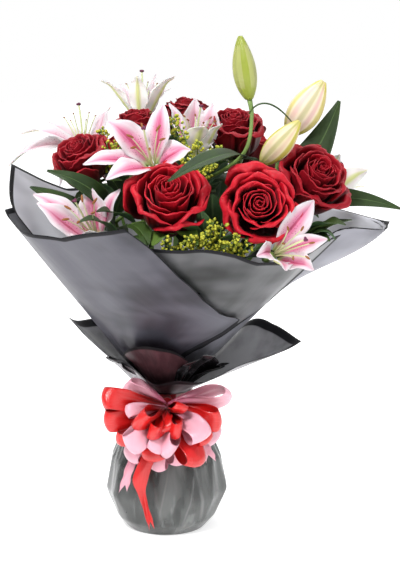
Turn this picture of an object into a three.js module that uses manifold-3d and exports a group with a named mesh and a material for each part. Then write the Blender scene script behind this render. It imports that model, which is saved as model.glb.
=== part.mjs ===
// A hand-tied bouquet of red roses, pink lilies, goldenrod and leaves in grey florist's film.
// The stems stand in a water-filled film bubble, whose flat base carries the whole bouquet,
// and a red and pink ribbon bow covers the tie at its neck.
// Units are millimetres, +Z up, and the origin is the middle of the flat base.
// The front of the bouquet, with the bow, faces -Y.

import * as THREE from "three";
import { mergeVertices } from "three/addons/utils/BufferGeometryUtils.js";
import Module from "manifold-3d";

const wasm = await Module();
wasm.setup();

// Driving dimensions
const clearance = 0.4; // between two pieces that touch on the real bouquet
const petalThickness = 0.8;
const leafThickness = 0.9;
const filmThickness = 0.8;
const ribbonThickness = 0.7;

const neckHeight = 162; // where the wraps and the stems start to spread
const stemFoot = 14; // cut ends above the table
const stemPitch = 7.4; // spacing of the stems in the tie
const twine = { inner: 18.5, outer: 20.1, low: 148, high: 156 };
const wrapNeckRadius = 21;
const wrapLayerStep = 1.7;
const wrapLayerSpread = 0.036; // how much the layers part as they go up
const flapNeckRadius = 26;
const bagNeck = { radius: 27.8, low: 147, high: 158 };
const band = { inner: 28.8, outer: 30, low: 147, high: 157 };
const bowMiddle = [2, -45, 151];
const ribbonWidth = 28;

// Small helpers for points and closed solids

const vec = (x, y, z) => new THREE.Vector3(x, y, z);
const fromList = (list) => new THREE.Vector3(...list);
const radians = (degrees) => (degrees * Math.PI) / 180;
const mix = (a, b, t) => a + (b - a) * t;
const smooth = (low, high, x) => THREE.MathUtils.smoothstep(x, low, high);

// A unit vector square to axis, turned round it by angle, where 0 is towards the hint.
function squareTo(axis, angle, hint = vec(0, 0, 1)) {
  const side = hint.clone().addScaledVector(axis, -hint.dot(axis));
  if (side.lengthSq() < 1e-6) side.set(0, -1, 0).addScaledVector(axis, axis.y);
  return side.normalize().applyAxisAngle(axis, angle);
}

// A solid from shared points and outward triangles.
function solidOf(points, faces) {
  return new wasm.Manifold(
    new wasm.Mesh({
      numProp: 3,
      vertProperties: new Float32Array(points.flatMap((p) => p.toArray())),
      triVerts: new Uint32Array(faces.flat()),
    }),
  );
}

// A solid from one of three.js's own closed geometries.
function solidFrom(geometry) {
  const bare = geometry.clone();
  bare.deleteAttribute("normal");
  bare.deleteAttribute("uv");
  const merged = mergeVertices(bare, 1e-4);
  return new wasm.Manifold(
    new wasm.Mesh({
      numProp: 3,
      vertProperties: merged.attributes.position.array,
      triVerts: new Uint32Array(merged.index.array),
    }),
  );
}

// A solid turned about the axis from its profile of [radius, height] points.
function turned(profile, sides, base, axis) {
  const points = profile.map(([radius, height]) => new THREE.Vector2(radius, height));
  const geometry = new THREE.LatheGeometry(points, sides);
  geometry.applyQuaternion(new THREE.Quaternion().setFromUnitVectors(vec(0, 1, 0), axis));
  geometry.translate(base.x, base.y, base.z);
  return solidFrom(geometry);
}

// A thin closed blade round the surface point(u, v), with u across and v along, each from 0 to 1.
// Both faces are split alike, and grow makes the room that a neighbour has to leave free.
function blade(surface, across, along, thickness, grow = 0) {
  const row = across + 1;
  const middle = [];
  for (let j = 0; j <= along; j++)
    for (let i = 0; i < row; i++) middle.push(surface(i / across, j / along));
  const at = (i, j) =>
    middle[THREE.MathUtils.clamp(j, 0, along) * row + THREE.MathUtils.clamp(i, 0, across)];
  const normals = middle.map((_, k) => {
    const i = k % row;
    const j = Math.floor(k / row);
    const du = at(i + 1, j).clone().sub(at(i - 1, j));
    const dv = at(i, j + 1).clone().sub(at(i, j - 1));
    return du.cross(dv).normalize();
  });
  const outward = middle.map((p, k) => {
    const i = k % row;
    const j = Math.floor(k / row);
    const push = vec(0, 0, 0);
    if (i === 0) push.add(p.clone().sub(at(1, j)).normalize());
    if (i === across) push.add(p.clone().sub(at(across - 1, j)).normalize());
    if (j === 0) push.add(p.clone().sub(at(i, 1)).normalize());
    if (j === along) push.add(p.clone().sub(at(i, along - 1)).normalize());
    return push.multiplyScalar(grow);
  });
  const half = thickness / 2 + grow;
  const lift = (sign) =>
    middle.map((p, k) => p.clone().add(outward[k]).addScaledVector(normals[k], sign * half));
  const faces = [];
  const under = middle.length;
  for (let j = 0; j < along; j++)
    for (let i = 0; i < across; i++) {
      const a = j * row + i;
      const [b, c, d] = [a + 1, a + row + 1, a + row];
      faces.push([a, b, c], [a, c, d]);
      faces.push([a + under, c + under, b + under], [a + under, d + under, c + under]);
    }
  const rim = [];
  for (let i = 0; i < across; i++) rim.push(i);
  for (let j = 0; j < along; j++) rim.push(j * row + across);
  for (let i = across; i > 0; i--) rim.push(along * row + i);
  for (let j = along; j > 0; j--) rim.push(j * row);
  rim.forEach((p, k) => {
    const q = rim[(k + 1) % rim.length];
    faces.push([q, p, p + under], [q, p + under, q + under]);
  });
  return solidOf([...lift(1), ...lift(-1)], faces);
}

// A closed rod through a list of points, whose radius may change along it and round it.
function rod(points, sides, radiusAt, grow = 0) {
  const last = points.length - 1;
  const rings = [];
  let side = vec(1, 0, 0);
  points.forEach((p, j) => {
    const along = points[Math.min(j + 1, last)].clone().sub(points[Math.max(j - 1, 0)]).normalize();
    side = squareTo(along, 0, side);
    for (let i = 0; i < sides; i++) {
      const angle = (2 * Math.PI * i) / sides;
      const out = side.clone().applyAxisAngle(along, angle);
      rings.push(p.clone().addScaledVector(out, radiusAt(j, angle) + grow));
    }
  });
  const faces = [];
  for (let j = 0; j < last; j++)
    for (let i = 0; i < sides; i++) {
      const a = j * sides + i;
      const b = j * sides + ((i + 1) % sides);
      faces.push([a, b, b + sides], [a, b + sides, a + sides]);
    }
  const end = last * sides;
  for (let i = 1; i < sides - 1; i++) {
    faces.push([0, i + 1, i]);
    faces.push([end, end + i, end + i + 1]);
  }
  return solidOf(rings, faces);
}

const through = (points) => new THREE.CatmullRomCurve3(points, false, "centripetal");
const arched = (a, b, c) => new THREE.QuadraticBezierCurve3(a, b, c);
const fused = (solids) => wasm.Manifold.union(solids);

// A closed skin round an axis: rows of points from a bottom point to a top point.
function skin(rows, bottom, top) {
  const around = rows[0].length;
  const points = [...rows.flat(), bottom, top];
  const faces = [];
  for (let i = 0; i < around; i++) {
    const next = (i + 1) % around;
    for (let j = 0; j + 1 < rows.length; j++) {
      const [a, b] = [j * around + i, j * around + next];
      faces.push([a, b, b + around], [a, b + around, a + around]);
    }
    const rim = (rows.length - 1) * around;
    faces.push([points.length - 2, next, i], [rim + i, rim + next, points.length - 1]);
  }
  return solidOf(points, faces);
}

// What is left of a solid outside the rooms of its neighbours, without loose scraps.
function clearOf(solid, rooms) {
  const kept = rooms.reduce((left, room) => left.subtract(room), solid).decompose();
  return kept.sort((a, b) => b.volume() - a.volume())[0];
}

// A closed curve through [degrees, value] stops round the axis: smooth, or straight between stops.
function roundTheAxis(stops, straightEdges = false) {
  const sorted = stops.map(([at, value]) => [((at % 360) + 360) % 360, value]);
  sorted.sort((a, b) => a[0] - b[0]);
  return (angle) => {
    const at = ((((angle * 180) / Math.PI) % 360) + 360) % 360;
    const next = sorted.find(([stop]) => stop > at) ?? [sorted[0][0] + 360, sorted[0][1]];
    const before = [...sorted].reverse().find(([stop]) => stop <= at) ?? [
      sorted.at(-1)[0] - 360,
      sorted.at(-1)[1],
    ];
    const share = (at - before[0]) / (next[0] - before[0]);
    return mix(before[1], next[1], straightEdges ? share : smooth(0, 1, share));
  };
}

// Roses: heart is the middle of the head and facing is where it looks

const roses = [
  { name: "left", heart: [-87, -25, 412], facing: [-0.4, -0.35, 0.85], across: 74, turn: 20 },
  { name: "back_left", heart: [-29, 8, 444], facing: [-0.1, -0.1, 0.99], across: 60, turn: 70 },
  { name: "back_middle", heart: [22, 74, 449], facing: [0.1, 0.3, 0.95], across: 62, turn: 10 },
  { name: "upper_right", heart: [76, 18, 437], facing: [-0.05, -0.3, 0.95], across: 72, turn: 45 },
  { name: "front_middle", heart: [5, -100, 381], facing: [0.03, -0.7, 0.72], across: 92, turn: 0 },
  { name: "front_right", heart: [97, -102, 378], facing: [0.05, -0.95, 0.3], across: 90, turn: 36 },
  { name: "right", heart: [155, -34, 392], facing: [0.42, -0.62, 0.66], across: 90, turn: 15 },
  { name: "back_right", heart: [100, 92, 396], facing: [0.45, 0.55, 0.7], across: 74, turn: 50 },
  { name: "back_outer", heart: [-50, 120, 392], facing: [-0.35, 0.7, 0.62], across: 74, turn: 30 },
];
const roseHeightShare = 0.68; // of the width across
const roseHeartShare = 0.5; // of the height, from the base to the middle
// The profile of a rose in shares of its radius and height, from the underside outwards, over the
// rim of the outer petals, down between the rings and up to the bud in the middle.
// ring says which ring of petals shapes that stop.
const roseProfile = [
  { r: 0.34, h: 0 },
  { r: 0.64, h: 0.2, ring: "outer" },
  { r: 0.86, h: 0.5, ring: "outer" },
  { r: 1, h: 0.79, ring: "outer", rim: 1 },
  { r: 0.96, h: 0.81, ring: "outer", rim: 1 },
  { r: 0.79, h: 0.54, ring: "outer" },
  { r: 0.56, h: 0.22 },
  { r: 0.62, h: 0.6, ring: "inner" },
  { r: 0.65, h: 0.94, ring: "inner", rim: 1 },
  { r: 0.6, h: 0.95, ring: "inner", rim: 1 },
  { r: 0.42, h: 0.34 },
  { r: 0.38, h: 0.66 },
  { r: 0.18, h: 1 },
];
const rosePetals = { outer: 5, inner: 3 };
const roseColumns = 15;
const petalLean = { outer: 0.07, inner: 0.06 }; // how far one side edge stands outside the next
const rimDip = { outer: 0.2, inner: 0.14 }; // how much lower the side edges are

function roseFrame({ heart, facing, across }) {
  const axis = fromList(facing).normalize();
  const height = across * roseHeightShare;
  const base = fromList(heart).addScaledVector(axis, -height * roseHeartShare);
  return { axis, base, height, radius: across / 2 };
}

// The head of a rose: each ring of petals is a thin cup round the bud. Along each petal the cup
// runs outwards from one side edge to the other, and its rim dips at the edges.
function roseBloom(rose) {
  const { axis, base, height, radius } = roseFrame(rose);
  const side = (ring, i) => {
    const petal = ((i * rosePetals[ring]) / roseColumns + (ring === "inner" ? 0.4 : 0)) % 1;
    return 2 * petal - 1;
  };
  const rows = roseProfile.map(({ r, h, ring, rim }) =>
    Array.from({ length: roseColumns }, (_, i) => {
      const s = ring ? side(ring, i) : 0;
      const reach = r + (ring ? petalLean[ring] * s : 0) + (rim ? 0.04 * (1 - s * s) : 0);
      const lift = h * (rim ? 1 - rimDip[ring] * s * s : 1);
      const out = squareTo(axis, radians(rose.turn + (360 * i) / roseColumns));
      return base.clone().addScaledVector(out, reach * radius).addScaledVector(axis, lift * height);
    }),
  );
  const onAxis = (share) => base.clone().addScaledVector(axis, share * height);
  return skin(rows, onAxis(0), onAxis(0.98));
}

// The room of a rose: a turned solid just outside its petals.
function roseRoom(rose) {
  const { axis, base, height, radius } = roseFrame(rose);
  const profile = [
    [0, -0.01],
    [0.4, -0.01],
    [0.76, 0.18],
    [1, 0.48],
    [1.12, 0.74],
    [1.08, 0.86],
    [0.7, 1.02],
    [0, 1.04],
  ];
  const points = profile.map(([r, z]) => [r * radius, z * height]);
  return turned(points, 12, base, axis);
}

// Lilies: six tepals spring from the throat. Tips that the bouquet's front shows are placed one by one,
// and the others open evenly round the axis. slim is how narrow the tepals are for their length.

const lilies = [
  {
    name: "left",
    throat: [-90, 25, 414],
    facing: [-0.1, 0.35, 0.93],
    turn: 60,
    tips: [
      [-127, 50, 452],
      [-176, 28, 406],
      [-119, 0, 386],
      [-66, 60, 466],
    ],
    rest: 2,
    slim: 0.9,
    over: [[-78, -22, 354], [-92, 4, 374]],
  },
  {
    name: "top",
    throat: [-27, 64, 445],
    facing: [0, 0.2, 0.98],
    turn: 0,
    tips: [
      [-16, 80, 499],
      [-70, 58, 498],
      [6, 62, 500],
      [-31, 50, 501],
      [-50, 112, 488],
      [2, 104, 484],
    ],
    rest: 0,
    slim: 0.8,
  },
  {
    name: "middle",
    throat: [-11, -60, 413],
    facing: [-0.15, -0.6, 0.78],
    turn: 0,
    tips: [
      [-56, -66, 464],
      [-2, -44, 480],
      [28, -60, 436],
      [-83, -90, 424],
      [-58, -112, 412],
    ],
    rest: 0,
    slim: 1,
  },
  {
    name: "lower_left",
    throat: [-69, -95, 342],
    facing: [-0.35, -0.5, 0.79],
    turn: 0,
    tips: [
      [-126, -112, 386],
      [-136, -78, 390],
      [-78, -92, 396],
      [-48, -100, 398],
      [-90, -140, 357],
    ],
    rest: 0,
    slim: 0.95,
  },
  {
    name: "lower_right",
    throat: [114, -121, 331],
    facing: [0.5, -0.75, 0.42],
    turn: 0,
    tips: [
      [158, -102, 386],
      [167, -130, 350],
      [151, -152, 326],
      [99, -164, 340],
    ],
    rest: 0,
    slim: 0.78,
  },
  {
    name: "top_right",
    throat: [32, 2, 414],
    facing: [0.12, -0.1, 0.98],
    turn: 0,
    tips: [
      [34, 22, 477],
      [58, -20, 457],
      [42, -30, 456],
      [8, 22, 474],
      [50, 22, 472],
    ],
    rest: 0,
    slim: 0.85,
  },
  {
    name: "right",
    throat: [168, 42, 362],
    facing: [0.5, 0.6, 0.62],
    turn: 0,
    tips: [
      [223, 40, 399],
      [194, 38, 414],
      [224, 84, 376],
      [156, 98, 404],
    ],
    rest: 0,
    slim: 0.85,
  },
];
const tepal = {
  length: 74, // straight from the throat to the tip
  widths: [34, 25], // the broad inner and the narrower outer ones
  baseRadius: 5,
  opening: radians(64),
  trough: 0.14, // of the width, by which the side edges stand up
};
const stamen = { length: 44, opening: radians(20), anther: 11 };
const pistilLength = 60;

function lilyFrame({ throat, facing }) {
  return { throat: fromList(throat), axis: fromList(facing).normalize() };
}

function tepalTips(lily) {
  const { throat, axis } = lilyFrame(lily);
  const tips = lily.tips.map(fromList);
  for (let k = 0; k < lily.rest; k++) {
    const round = squareTo(axis, radians(lily.turn + 150 + 60 * k));
    const opening = round.multiplyScalar(Math.sin(tepal.opening));
    opening.addScaledVector(axis, Math.cos(tepal.opening));
    tips.push(throat.clone().addScaledVector(opening, tepal.length));
  }
  return tips;
}

// The roots of the tepals stand evenly round the throat, in the order of their tips.
function tepalRoots(lily) {
  const { throat, axis } = lilyFrame(lily);
  const zero = squareTo(axis, 0);
  const quarter = axis.clone().cross(zero);
  const tips = tepalTips(lily).map((tip, order) => {
    const to = tip.clone().sub(throat);
    return { tip, order, bearing: Math.atan2(to.dot(quarter), to.dot(zero)) };
  });
  tips.sort((a, b) => a.bearing - b.bearing);
  const step = (2 * Math.PI) / tips.length;
  const turn = tips.reduce((sum, t, k) => sum + t.bearing - k * step, 0) / tips.length;
  return tips.map((t, k) => ({ ...t, side: squareTo(axis, turn + k * step) }));
}

// One tepal: it runs up the throat, bends over to its tip, and is a trough with a midrib.
function tepalSurface(lily, { tip, side }, width) {
  const { throat, axis } = lilyFrame(lily);
  const outward = tip.clone().sub(throat);
  const length = outward.length();
  outward.addScaledVector(axis, -outward.dot(axis)).normalize();
  const root = throat.clone().addScaledVector(side, tepal.baseRadius);
  const bend = root.clone().addScaledVector(axis, 0.38 * length);
  bend.addScaledVector(side, 0.12 * length).addScaledVector(outward, 0.12 * length);
  const line = arched(root, bend, tip);
  const crosswise = (v) => axis.clone().cross(side.clone().lerp(outward, Math.min(1, 2 * v))).normalize();
  return (u, v) => {
    const across = 2 * u - 1;
    const sideways = crosswise(v);
    const face = line.getTangent(v).cross(sideways).normalize();
    const swell = 0.06 * (1 - v) + 0.97 * Math.sin(Math.PI * v ** 1.15) ** 0.95;
    const half = 0.8 + (width / 2) * swell;
    const edge = tepal.trough * width * Math.abs(across) * Math.sin(Math.PI * v);
    return line
      .getPoint(v)
      .addScaledVector(sideways, half * across)
      .addScaledVector(face, edge);
  };
}

function lilyBloom(lily, grow = 0) {
  const { throat, axis } = lilyFrame(lily);
  const cup = [
    [0, -2],
    [5 + grow, -2],
    [8.4 + grow, 1.6 + grow],
    [0, 1.6 + grow],
  ];
  const pieces = [turned(cup, 6, throat, axis)];
  for (const root of tepalRoots(lily)) {
    const surface = tepalSurface(lily, root, lily.slim * tepal.widths[root.order % 2]);
    pieces.push(blade(surface, 2, 3, petalThickness, grow));
  }
  return fused(pieces);
}

// The pistil and the stamens leave one short column inside the throat.
function lilyStamens(lily) {
  const { throat, axis } = lilyFrame(lily);
  const foot = throat.clone().addScaledVector(axis, 1.6 + clearance);
  const head = throat.clone().addScaledVector(axis, pistilLength);
  const style = [0.01, 0.97, 1].map((t) => foot.clone().lerp(head, t));
  const pieces = [
    turned([[0, 0], [3.6, 0], [3.2, 1.4], [0, 1.4]], 6, foot, axis),
    rod(style, 4, (j) => [1.1, 2.8, 1][j]),
  ];
  for (let k = 0; k < 6; k++) {
    const round = squareTo(axis, radians(60 * k + 25));
    const start = foot.clone().addScaledVector(axis, 0.7).addScaledVector(round, 2.2);
    const end = start.clone().addScaledVector(axis, stamen.length * Math.cos(stamen.opening));
    end.addScaledVector(round, stamen.length * Math.sin(stamen.opening));
    const tip = end.clone().addScaledVector(round, 0.8 * stamen.anther);
    tip.addScaledVector(axis, 0.5 * stamen.anther);
    pieces.push(rod([start, end, tip], 3, (j) => [0.8, 2, 0.5][j]));
  }
  return fused(pieces);
}

// Buds: a pod with three rounded lobes from base to tip

const buds = [
  { name: "green", base: [90, -45, 483], tip: [80, -45, 549], width: 25, over: [[85, -50, 428]] },
  { name: "pale_large", base: [135, 20, 439], tip: [172, 20, 496], width: 37 },
  { name: "pale_small", base: [104, -45, 416], tip: [142, -55, 461], width: 27 },
];
const budSides = 9;
const budSteps = 6;

// The swelling of a bud from its base at 0 to its tip at 1.
const budSwell = (t) => 0.06 + 0.94 * Math.sin(Math.PI * (0.04 + 0.93 * t) ** 0.85) ** 0.8;

function budPod({ base, tip, width }, grow = 0) {
  const line = Array.from({ length: budSteps + 1 }, (_, j) =>
    fromList(base).lerp(fromList(tip), j / budSteps),
  );
  const lobes = (angle) => 1 + 0.07 * Math.cos(3 * angle);
  return rod(line, budSides, (j, a) => (width / 2) * budSwell(j / budSteps) * lobes(a), grow);
}

// Leaves: a pointed blade with a midrib fold, on a curve from root over bend to tip

function leafSurface({ root, bend, tip, width, face = [0, 0, 1], wave = 0 }) {
  const line = arched(fromList(root), fromList(bend), fromList(tip));
  const up = fromList(face);
  return (u, v) => {
    const across = 2 * u - 1;
    const along = line.getTangent(v);
    const side = new THREE.Vector3().crossVectors(along, up).normalize();
    const over = new THREE.Vector3().crossVectors(side, along).normalize();
    const half = 0.9 + (width / 2) * Math.sin(Math.PI * (0.02 + 0.96 * v) ** 0.75) ** 0.9;
    const fold = 0.12 * width * Math.abs(across) * Math.sin(Math.PI * v);
    const ripple = wave * across * Math.sin(3 * Math.PI * v);
    return line
      .getPoint(v)
      .addScaledVector(side, half * across)
      .addScaledVector(over, fold + ripple);
  };
}

const leafBlade = (leaf, grow = 0) => blade(leafSurface(leaf), 2, 3, leafThickness, grow);

// Stems: each stands in one place of the tie and rises to its top.
// Leaves, side branches and pedicels are listed with the stem that they grow on.

const lilyStems = [
  {
    name: "lily_stem_left",
    top: [-54, -34, 352],
    radius: 3.3,
    carries: ["left", "middle", "lower_left"],
    buds: [],
    leaves: [
      { root: [-53, -36, 346], bend: [-56, -112, 402], tip: [-120, -90, 414], width: 20 },
      { root: [-54, -30, 340], bend: [-112, -14, 372], tip: [-150, 34, 378], width: 18 },
      { root: [-50, -30, 330], bend: [-56, -60, 360], tip: [-36, -112, 350], width: 22 },
    ],
  },
  {
    name: "lily_stem_top",
    top: [24, -8, 384],
    radius: 3.3,
    carries: ["top", "top_right"],
    buds: ["green"],
    leaves: [
      { root: [84, -50, 424], bend: [62, -116, 444], tip: [6, -152, 412], width: 22, face: [0, -0.5, 0.85] },
      { root: [89, -46, 468], bend: [108, -46, 496], tip: [142, -42, 450], width: 6 },
      { root: [21, -7, 356], bend: [30, 60, 396], tip: [66, 128, 416], width: 22 },
      { root: [20, -10, 350], bend: [40, -50, 392], tip: [53, -100, 393], width: 22 },
    ],
  },
  {
    name: "lily_stem_right",
    top: [114, 2, 362],
    radius: 3.3,
    carries: ["lower_right", "right"],
    buds: ["pale_large", "pale_small"],
    leaves: [
      { root: [116, 6, 368], bend: [162, 20, 396], tip: [190, 26, 474], width: 40, face: [-0.3, -1, 0.2] },
      { root: [110, 2, 354], bend: [184, 12, 384], tip: [256, -6, 360], width: 22, face: [0, -1, 0.3] },
      { root: [105, 2, 346], bend: [122, 80, 384], tip: [176, 112, 366], width: 22 },
    ],
  },
];

const foliageStems = [
  {
    name: "foliage_front_left",
    top: [-46, -112, 344],
    radius: 2,
    leaves: [
      { root: [-46, -112, 342], bend: [-60, -120, 376], tip: [-86, -128, 366], width: 26 },
      { root: [-45, -110, 338], bend: [-34, -140, 366], tip: [-14, -152, 336], width: 24 },
      { root: [-43, -102, 328], bend: [-80, -112, 336], tip: [-112, -104, 360], width: 22 },
    ],
  },
  {
    name: "foliage_front_right",
    top: [144, -76, 336],
    radius: 2,
    leaves: [
      { root: [144, -76, 334], bend: [166, -86, 360], tip: [180, -84, 340], width: 25 },
      { root: [137.5, -72.5, 328], bend: [168, -56, 352], tip: [200, -40, 354], width: 25 },
      { root: [126, -66, 314], bend: [116, -84, 333], tip: [102, -102, 331], width: 17 },
    ],
  },
  {
    name: "foliage_back",
    top: [8, 126, 366],
    radius: 2,
    leaves: [
      { root: [8, 126, 364], bend: [8, 150, 402], tip: [20, 156, 440], width: 30, face: [0, -1, 0.3] },
      { root: [7.6, 120, 356], bend: [-40, 156, 366], tip: [-92, 142, 362], width: 24 },
      { root: [6, 120, 350], bend: [60, 148, 358], tip: [104, 130, 378], width: 26 },
    ],
  },
];

// Goldenrod: short branches with a row of round florets, set in a golden-angle spiral
const goldenrods = [
  {
    name: "goldenrod_left",
    top: [-58, 0, 392],
    branches: [[-56, -26, 434], [-40, -10, 440], [-70, 4, 446]],
  },
  {
    name: "goldenrod_middle",
    top: [34, -34, 396],
    branches: [[8, -24, 462], [36, -50, 436], [62, -52, 430]],
  },
  {
    name: "goldenrod_front",
    top: [46, -106, 316],
    branches: [[26, -142, 352], [52, -128, 366], [66, -140, 344]],
  },
  {
    name: "goldenrod_back",
    top: [56, 106, 374],
    branches: [[60, 118, 434], [36, 126, 418], [82, 134, 404]],
  },
];
const floret = { radius: 3.3, offset: 2.2, perBranch: 5, goldenAngle: 2.399963 };

// The places of the stems in the tie: one in the middle, six round it and twelve round those.
function tiePlaces() {
  const places = [{ ring: 0, x: 0, y: 0 }];
  for (let ring = 1; ring <= 2; ring++)
    for (let k = 0; k < 6 * ring; k++) {
      const corner = Math.floor(k / ring);
      const share = (k % ring) / ring;
      const from = radians(60 * corner);
      const to = radians(60 * (corner + 1));
      places.push({
        ring,
        x: ring * stemPitch * mix(Math.cos(from), Math.cos(to), share),
        y: ring * stemPitch * mix(Math.sin(from), Math.sin(to), share),
      });
    }
  return places;
}

// Every stem, with where it ends and how it arrives there.
function stemList() {
  const list = roses.map((rose) => {
    const { axis, base } = roseFrame(rose);
    const top = base.clone().addScaledVector(axis, -clearance);
    return { name: "rose_stem_" + rose.name, top, arrive: axis, radius: 3, rose };
  });
  for (const stem of [...lilyStems, ...foliageStems, ...goldenrods]) {
    const top = fromList(stem.top);
    const arrive = top.clone().sub(vec(0, 0, neckHeight)).normalize();
    list.push({ name: stem.name, top, arrive, radius: stem.radius ?? 1.9 });
  }
  return list;
}

// Stems whose flowers stand furthest out take the outer places, each on its own side.
function placeStems(list) {
  const tieAxis = vec(20, 0, 0);
  const spread = (s) => Math.hypot(s.top.x - tieAxis.x, s.top.y);
  const bearing = (p) => Math.atan2(p.y, p.x);
  const sorted = [...list].sort((a, b) => spread(a) - spread(b));
  const places = tiePlaces();
  for (const [ring, from, to] of [[0, 0, 1], [1, 1, 7], [2, 7, 19]]) {
    const group = sorted.slice(from, to);
    group.sort((a, b) => bearing(a.top.clone().sub(tieAxis)) - bearing(b.top.clone().sub(tieAxis)));
    const free = places.filter((p) => p.ring === ring);
    free.sort((a, b) => bearing(a) - bearing(b));
    const misfit = (shift) =>
      group.reduce((sum, stem, k) => {
        const place = free[(k + shift) % free.length];
        const turn = bearing(place) - bearing(stem.top.clone().sub(tieAxis));
        return sum + 1 - Math.cos(turn);
      }, 0);
    const shifts = free.map((_, k) => k).sort((a, b) => misfit(a) - misfit(b));
    group.forEach((stem, k) => (stem.place = free[(k + shifts[0]) % free.length]));
  }
  return list;
}

// The line of a stem: straight up through the water and the tie, then out to its top.
// Above the tie the stems push each other apart until they are clear.
const stemLevels = 5;
function drawStems(list) {
  for (const stem of list) {
    const { x, y } = stem.place;
    const neck = vec(x, y, neckHeight - 2);
    const arrive = stem.top.clone().addScaledVector(stem.arrive, -30);
    const lean = vec(mix(x, arrive.x, 0.45), mix(y, arrive.y, 0.45), mix(neck.z, arrive.z, 0.55));
    stem.points = through([neck, lean, arrive, stem.top]).getSpacedPoints(stemLevels);
  }
  for (let pass = 0; pass < 60; pass++)
    for (const a of list)
      for (const b of list)
        if (a !== b) a.points.slice(1, -1).forEach((p) => pushOff(p, b, a.radius + b.radius));
  for (const stem of list) {
    const { x, y } = stem.place;
    stem.foot = vec(1.5 * x, 1.5 * y, stemFoot);
    stem.tied = vec(x, y, twine.low - 4);
    stem.points.unshift(stem.foot, stem.tied);
  }
}

function pushOff(p, stem, radii) {
  const away = p.clone().sub(nearestOn(stem.points, p));
  const short = radii + 2 * clearance - away.length();
  if (short > 0) p.addScaledVector(away.normalize(), short / 2 + 0.05);
}

function nearestOn(points, p) {
  const segment = new THREE.Line3();
  const best = vec(0, 0, 0);
  const here = vec(0, 0, 0);
  let least = Infinity;
  for (let k = 0; k + 1 < points.length; k++) {
    segment.set(points[k], points[k + 1]).closestPointToPoint(p, true, here);
    if (here.distanceTo(p) < least) {
      least = here.distanceTo(p);
      best.copy(here);
    }
  }
  return best;
}

const stems = placeStems(stemList());
drawStems(stems);
const stemOf = (name) => stems.find((stem) => stem.name === name);
const stemSides = 4;
const stemRod = (stem, grow = 0) => rod(stem.points, stemSides, () => stem.radius, grow);

// A rose's stem carries the hip, a swelling under the bloom whose rim is a star of five sepals.
const calyxColumns = 10;
const sepalReach = 22;
function roseStem(stem, grow = 0) {
  const { axis, base, radius } = roseFrame(stem.rose);
  const down = (by) => base.clone().addScaledVector(axis, -by);
  const hip = [
    { by: 15, r: 3 },
    { by: 7, r: 0.21 * radius },
    { by: 3, r: 0.24 * radius },
    { by: 2, r: 0.26 * radius, sepal: 1 },
    { by: 0.9, r: 0.26 * radius, sepal: 1 },
  ];
  const rows = hip.map(({ by, r, sepal = 0 }) =>
    Array.from({ length: calyxColumns }, (_, i) => {
      const tip = i % 2 === 0 ? sepal : 0;
      const out = squareTo(axis, radians(stem.rose.turn + (360 * i) / calyxColumns));
      const swell = (by > 1 ? grow : -grow) + (tip ? 8 : 0);
      return down(by + swell).addScaledVector(out, r + grow + tip * sepalReach);
    }),
  );
  const calyx = skin(rows, down(15 + grow), down(clearance));
  const points = [...stem.points.slice(0, -1), down(12)];
  return rod(points, stemSides, () => stem.radius, grow).add(calyx);
}

// A lily's stem with the pedicels that carry its blooms and buds.
function lilyStem(spec, grow = 0) {
  const top = fromList(spec.top);
  const pieces = [stemRod(stemOf(spec.name), grow)];
  const pedicel = (end, arrive, over) => {
    const before = end.clone().addScaledVector(arrive, -16);
    const start = top.clone().add(vec(0, 0, -3));
    const bends = over ?? [start.clone().lerp(before, 0.5).add(vec(0, 0, -4)).toArray()];
    const line = through([start, ...bends.map(fromList), before, end]).getSpacedPoints(5);
    pieces.push(rod(line, stemSides, (j) => [2.2, 2, 2, 2, 2.3, 3][j], grow));
  };
  for (const name of spec.carries) {
    const lily = lilies.find((l) => l.name === name);
    const { throat, axis } = lilyFrame(lily);
    pedicel(throat.clone().addScaledVector(axis, -2 - clearance), axis, lily.over);
  }
  for (const name of spec.buds) {
    const bud = buds.find((b) => b.name === name);
    const arrive = fromList(bud.tip).sub(fromList(bud.base)).normalize();
    pedicel(fromList(bud.base).addScaledVector(arrive, -clearance), arrive, bud.over);
  }
  return fused(pieces);
}

const leavesOf = (spec, grow = 0) => fused(spec.leaves.map((leaf) => leafBlade(leaf, grow)));

function goldenrodBranches(spec, grow = 0) {
  const top = fromList(spec.top);
  const pieces = [];
  for (const end of spec.branches) {
    const tip = fromList(end);
    const bend = vec(mix(top.x, tip.x, 0.3), mix(top.y, tip.y, 0.3), mix(top.z, tip.z, 0.7));
    const line = arched(top.clone().add(vec(0, 0, -2)), bend, tip);
    const points = [line.getPoint(0)];
    for (let k = 0; k < floret.perBranch; k++) {
      const along = mix(0.34, 0.97, k / (floret.perBranch - 1));
      const round = squareTo(line.getTangent(along), k * floret.goldenAngle);
      points.push(line.getPoint(along - 0.08));
      points.push(line.getPoint(along).addScaledVector(round, floret.offset));
    }
    points.push(tip);
    pieces.push(rod(points, 4, (j) => (j % 2 ? 1 : j === 0 ? 1.4 : floret.radius), grow));
  }
  return fused(pieces);
}

// The film wrap: all sheets lie on one cone, a layer apart, so they never cross.
// The lean is the cone's angle from the vertical, and it changes round the axis.
const wrapLean = roundTheAxis([
  [0, 44], [30, 41], [60, 37], [90, 34], [135, 33], [165, 32],
  [188, 36], [230, 34.5], [256, 35], [280, 37], [306, 40], [334, 42.5],
]);

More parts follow.
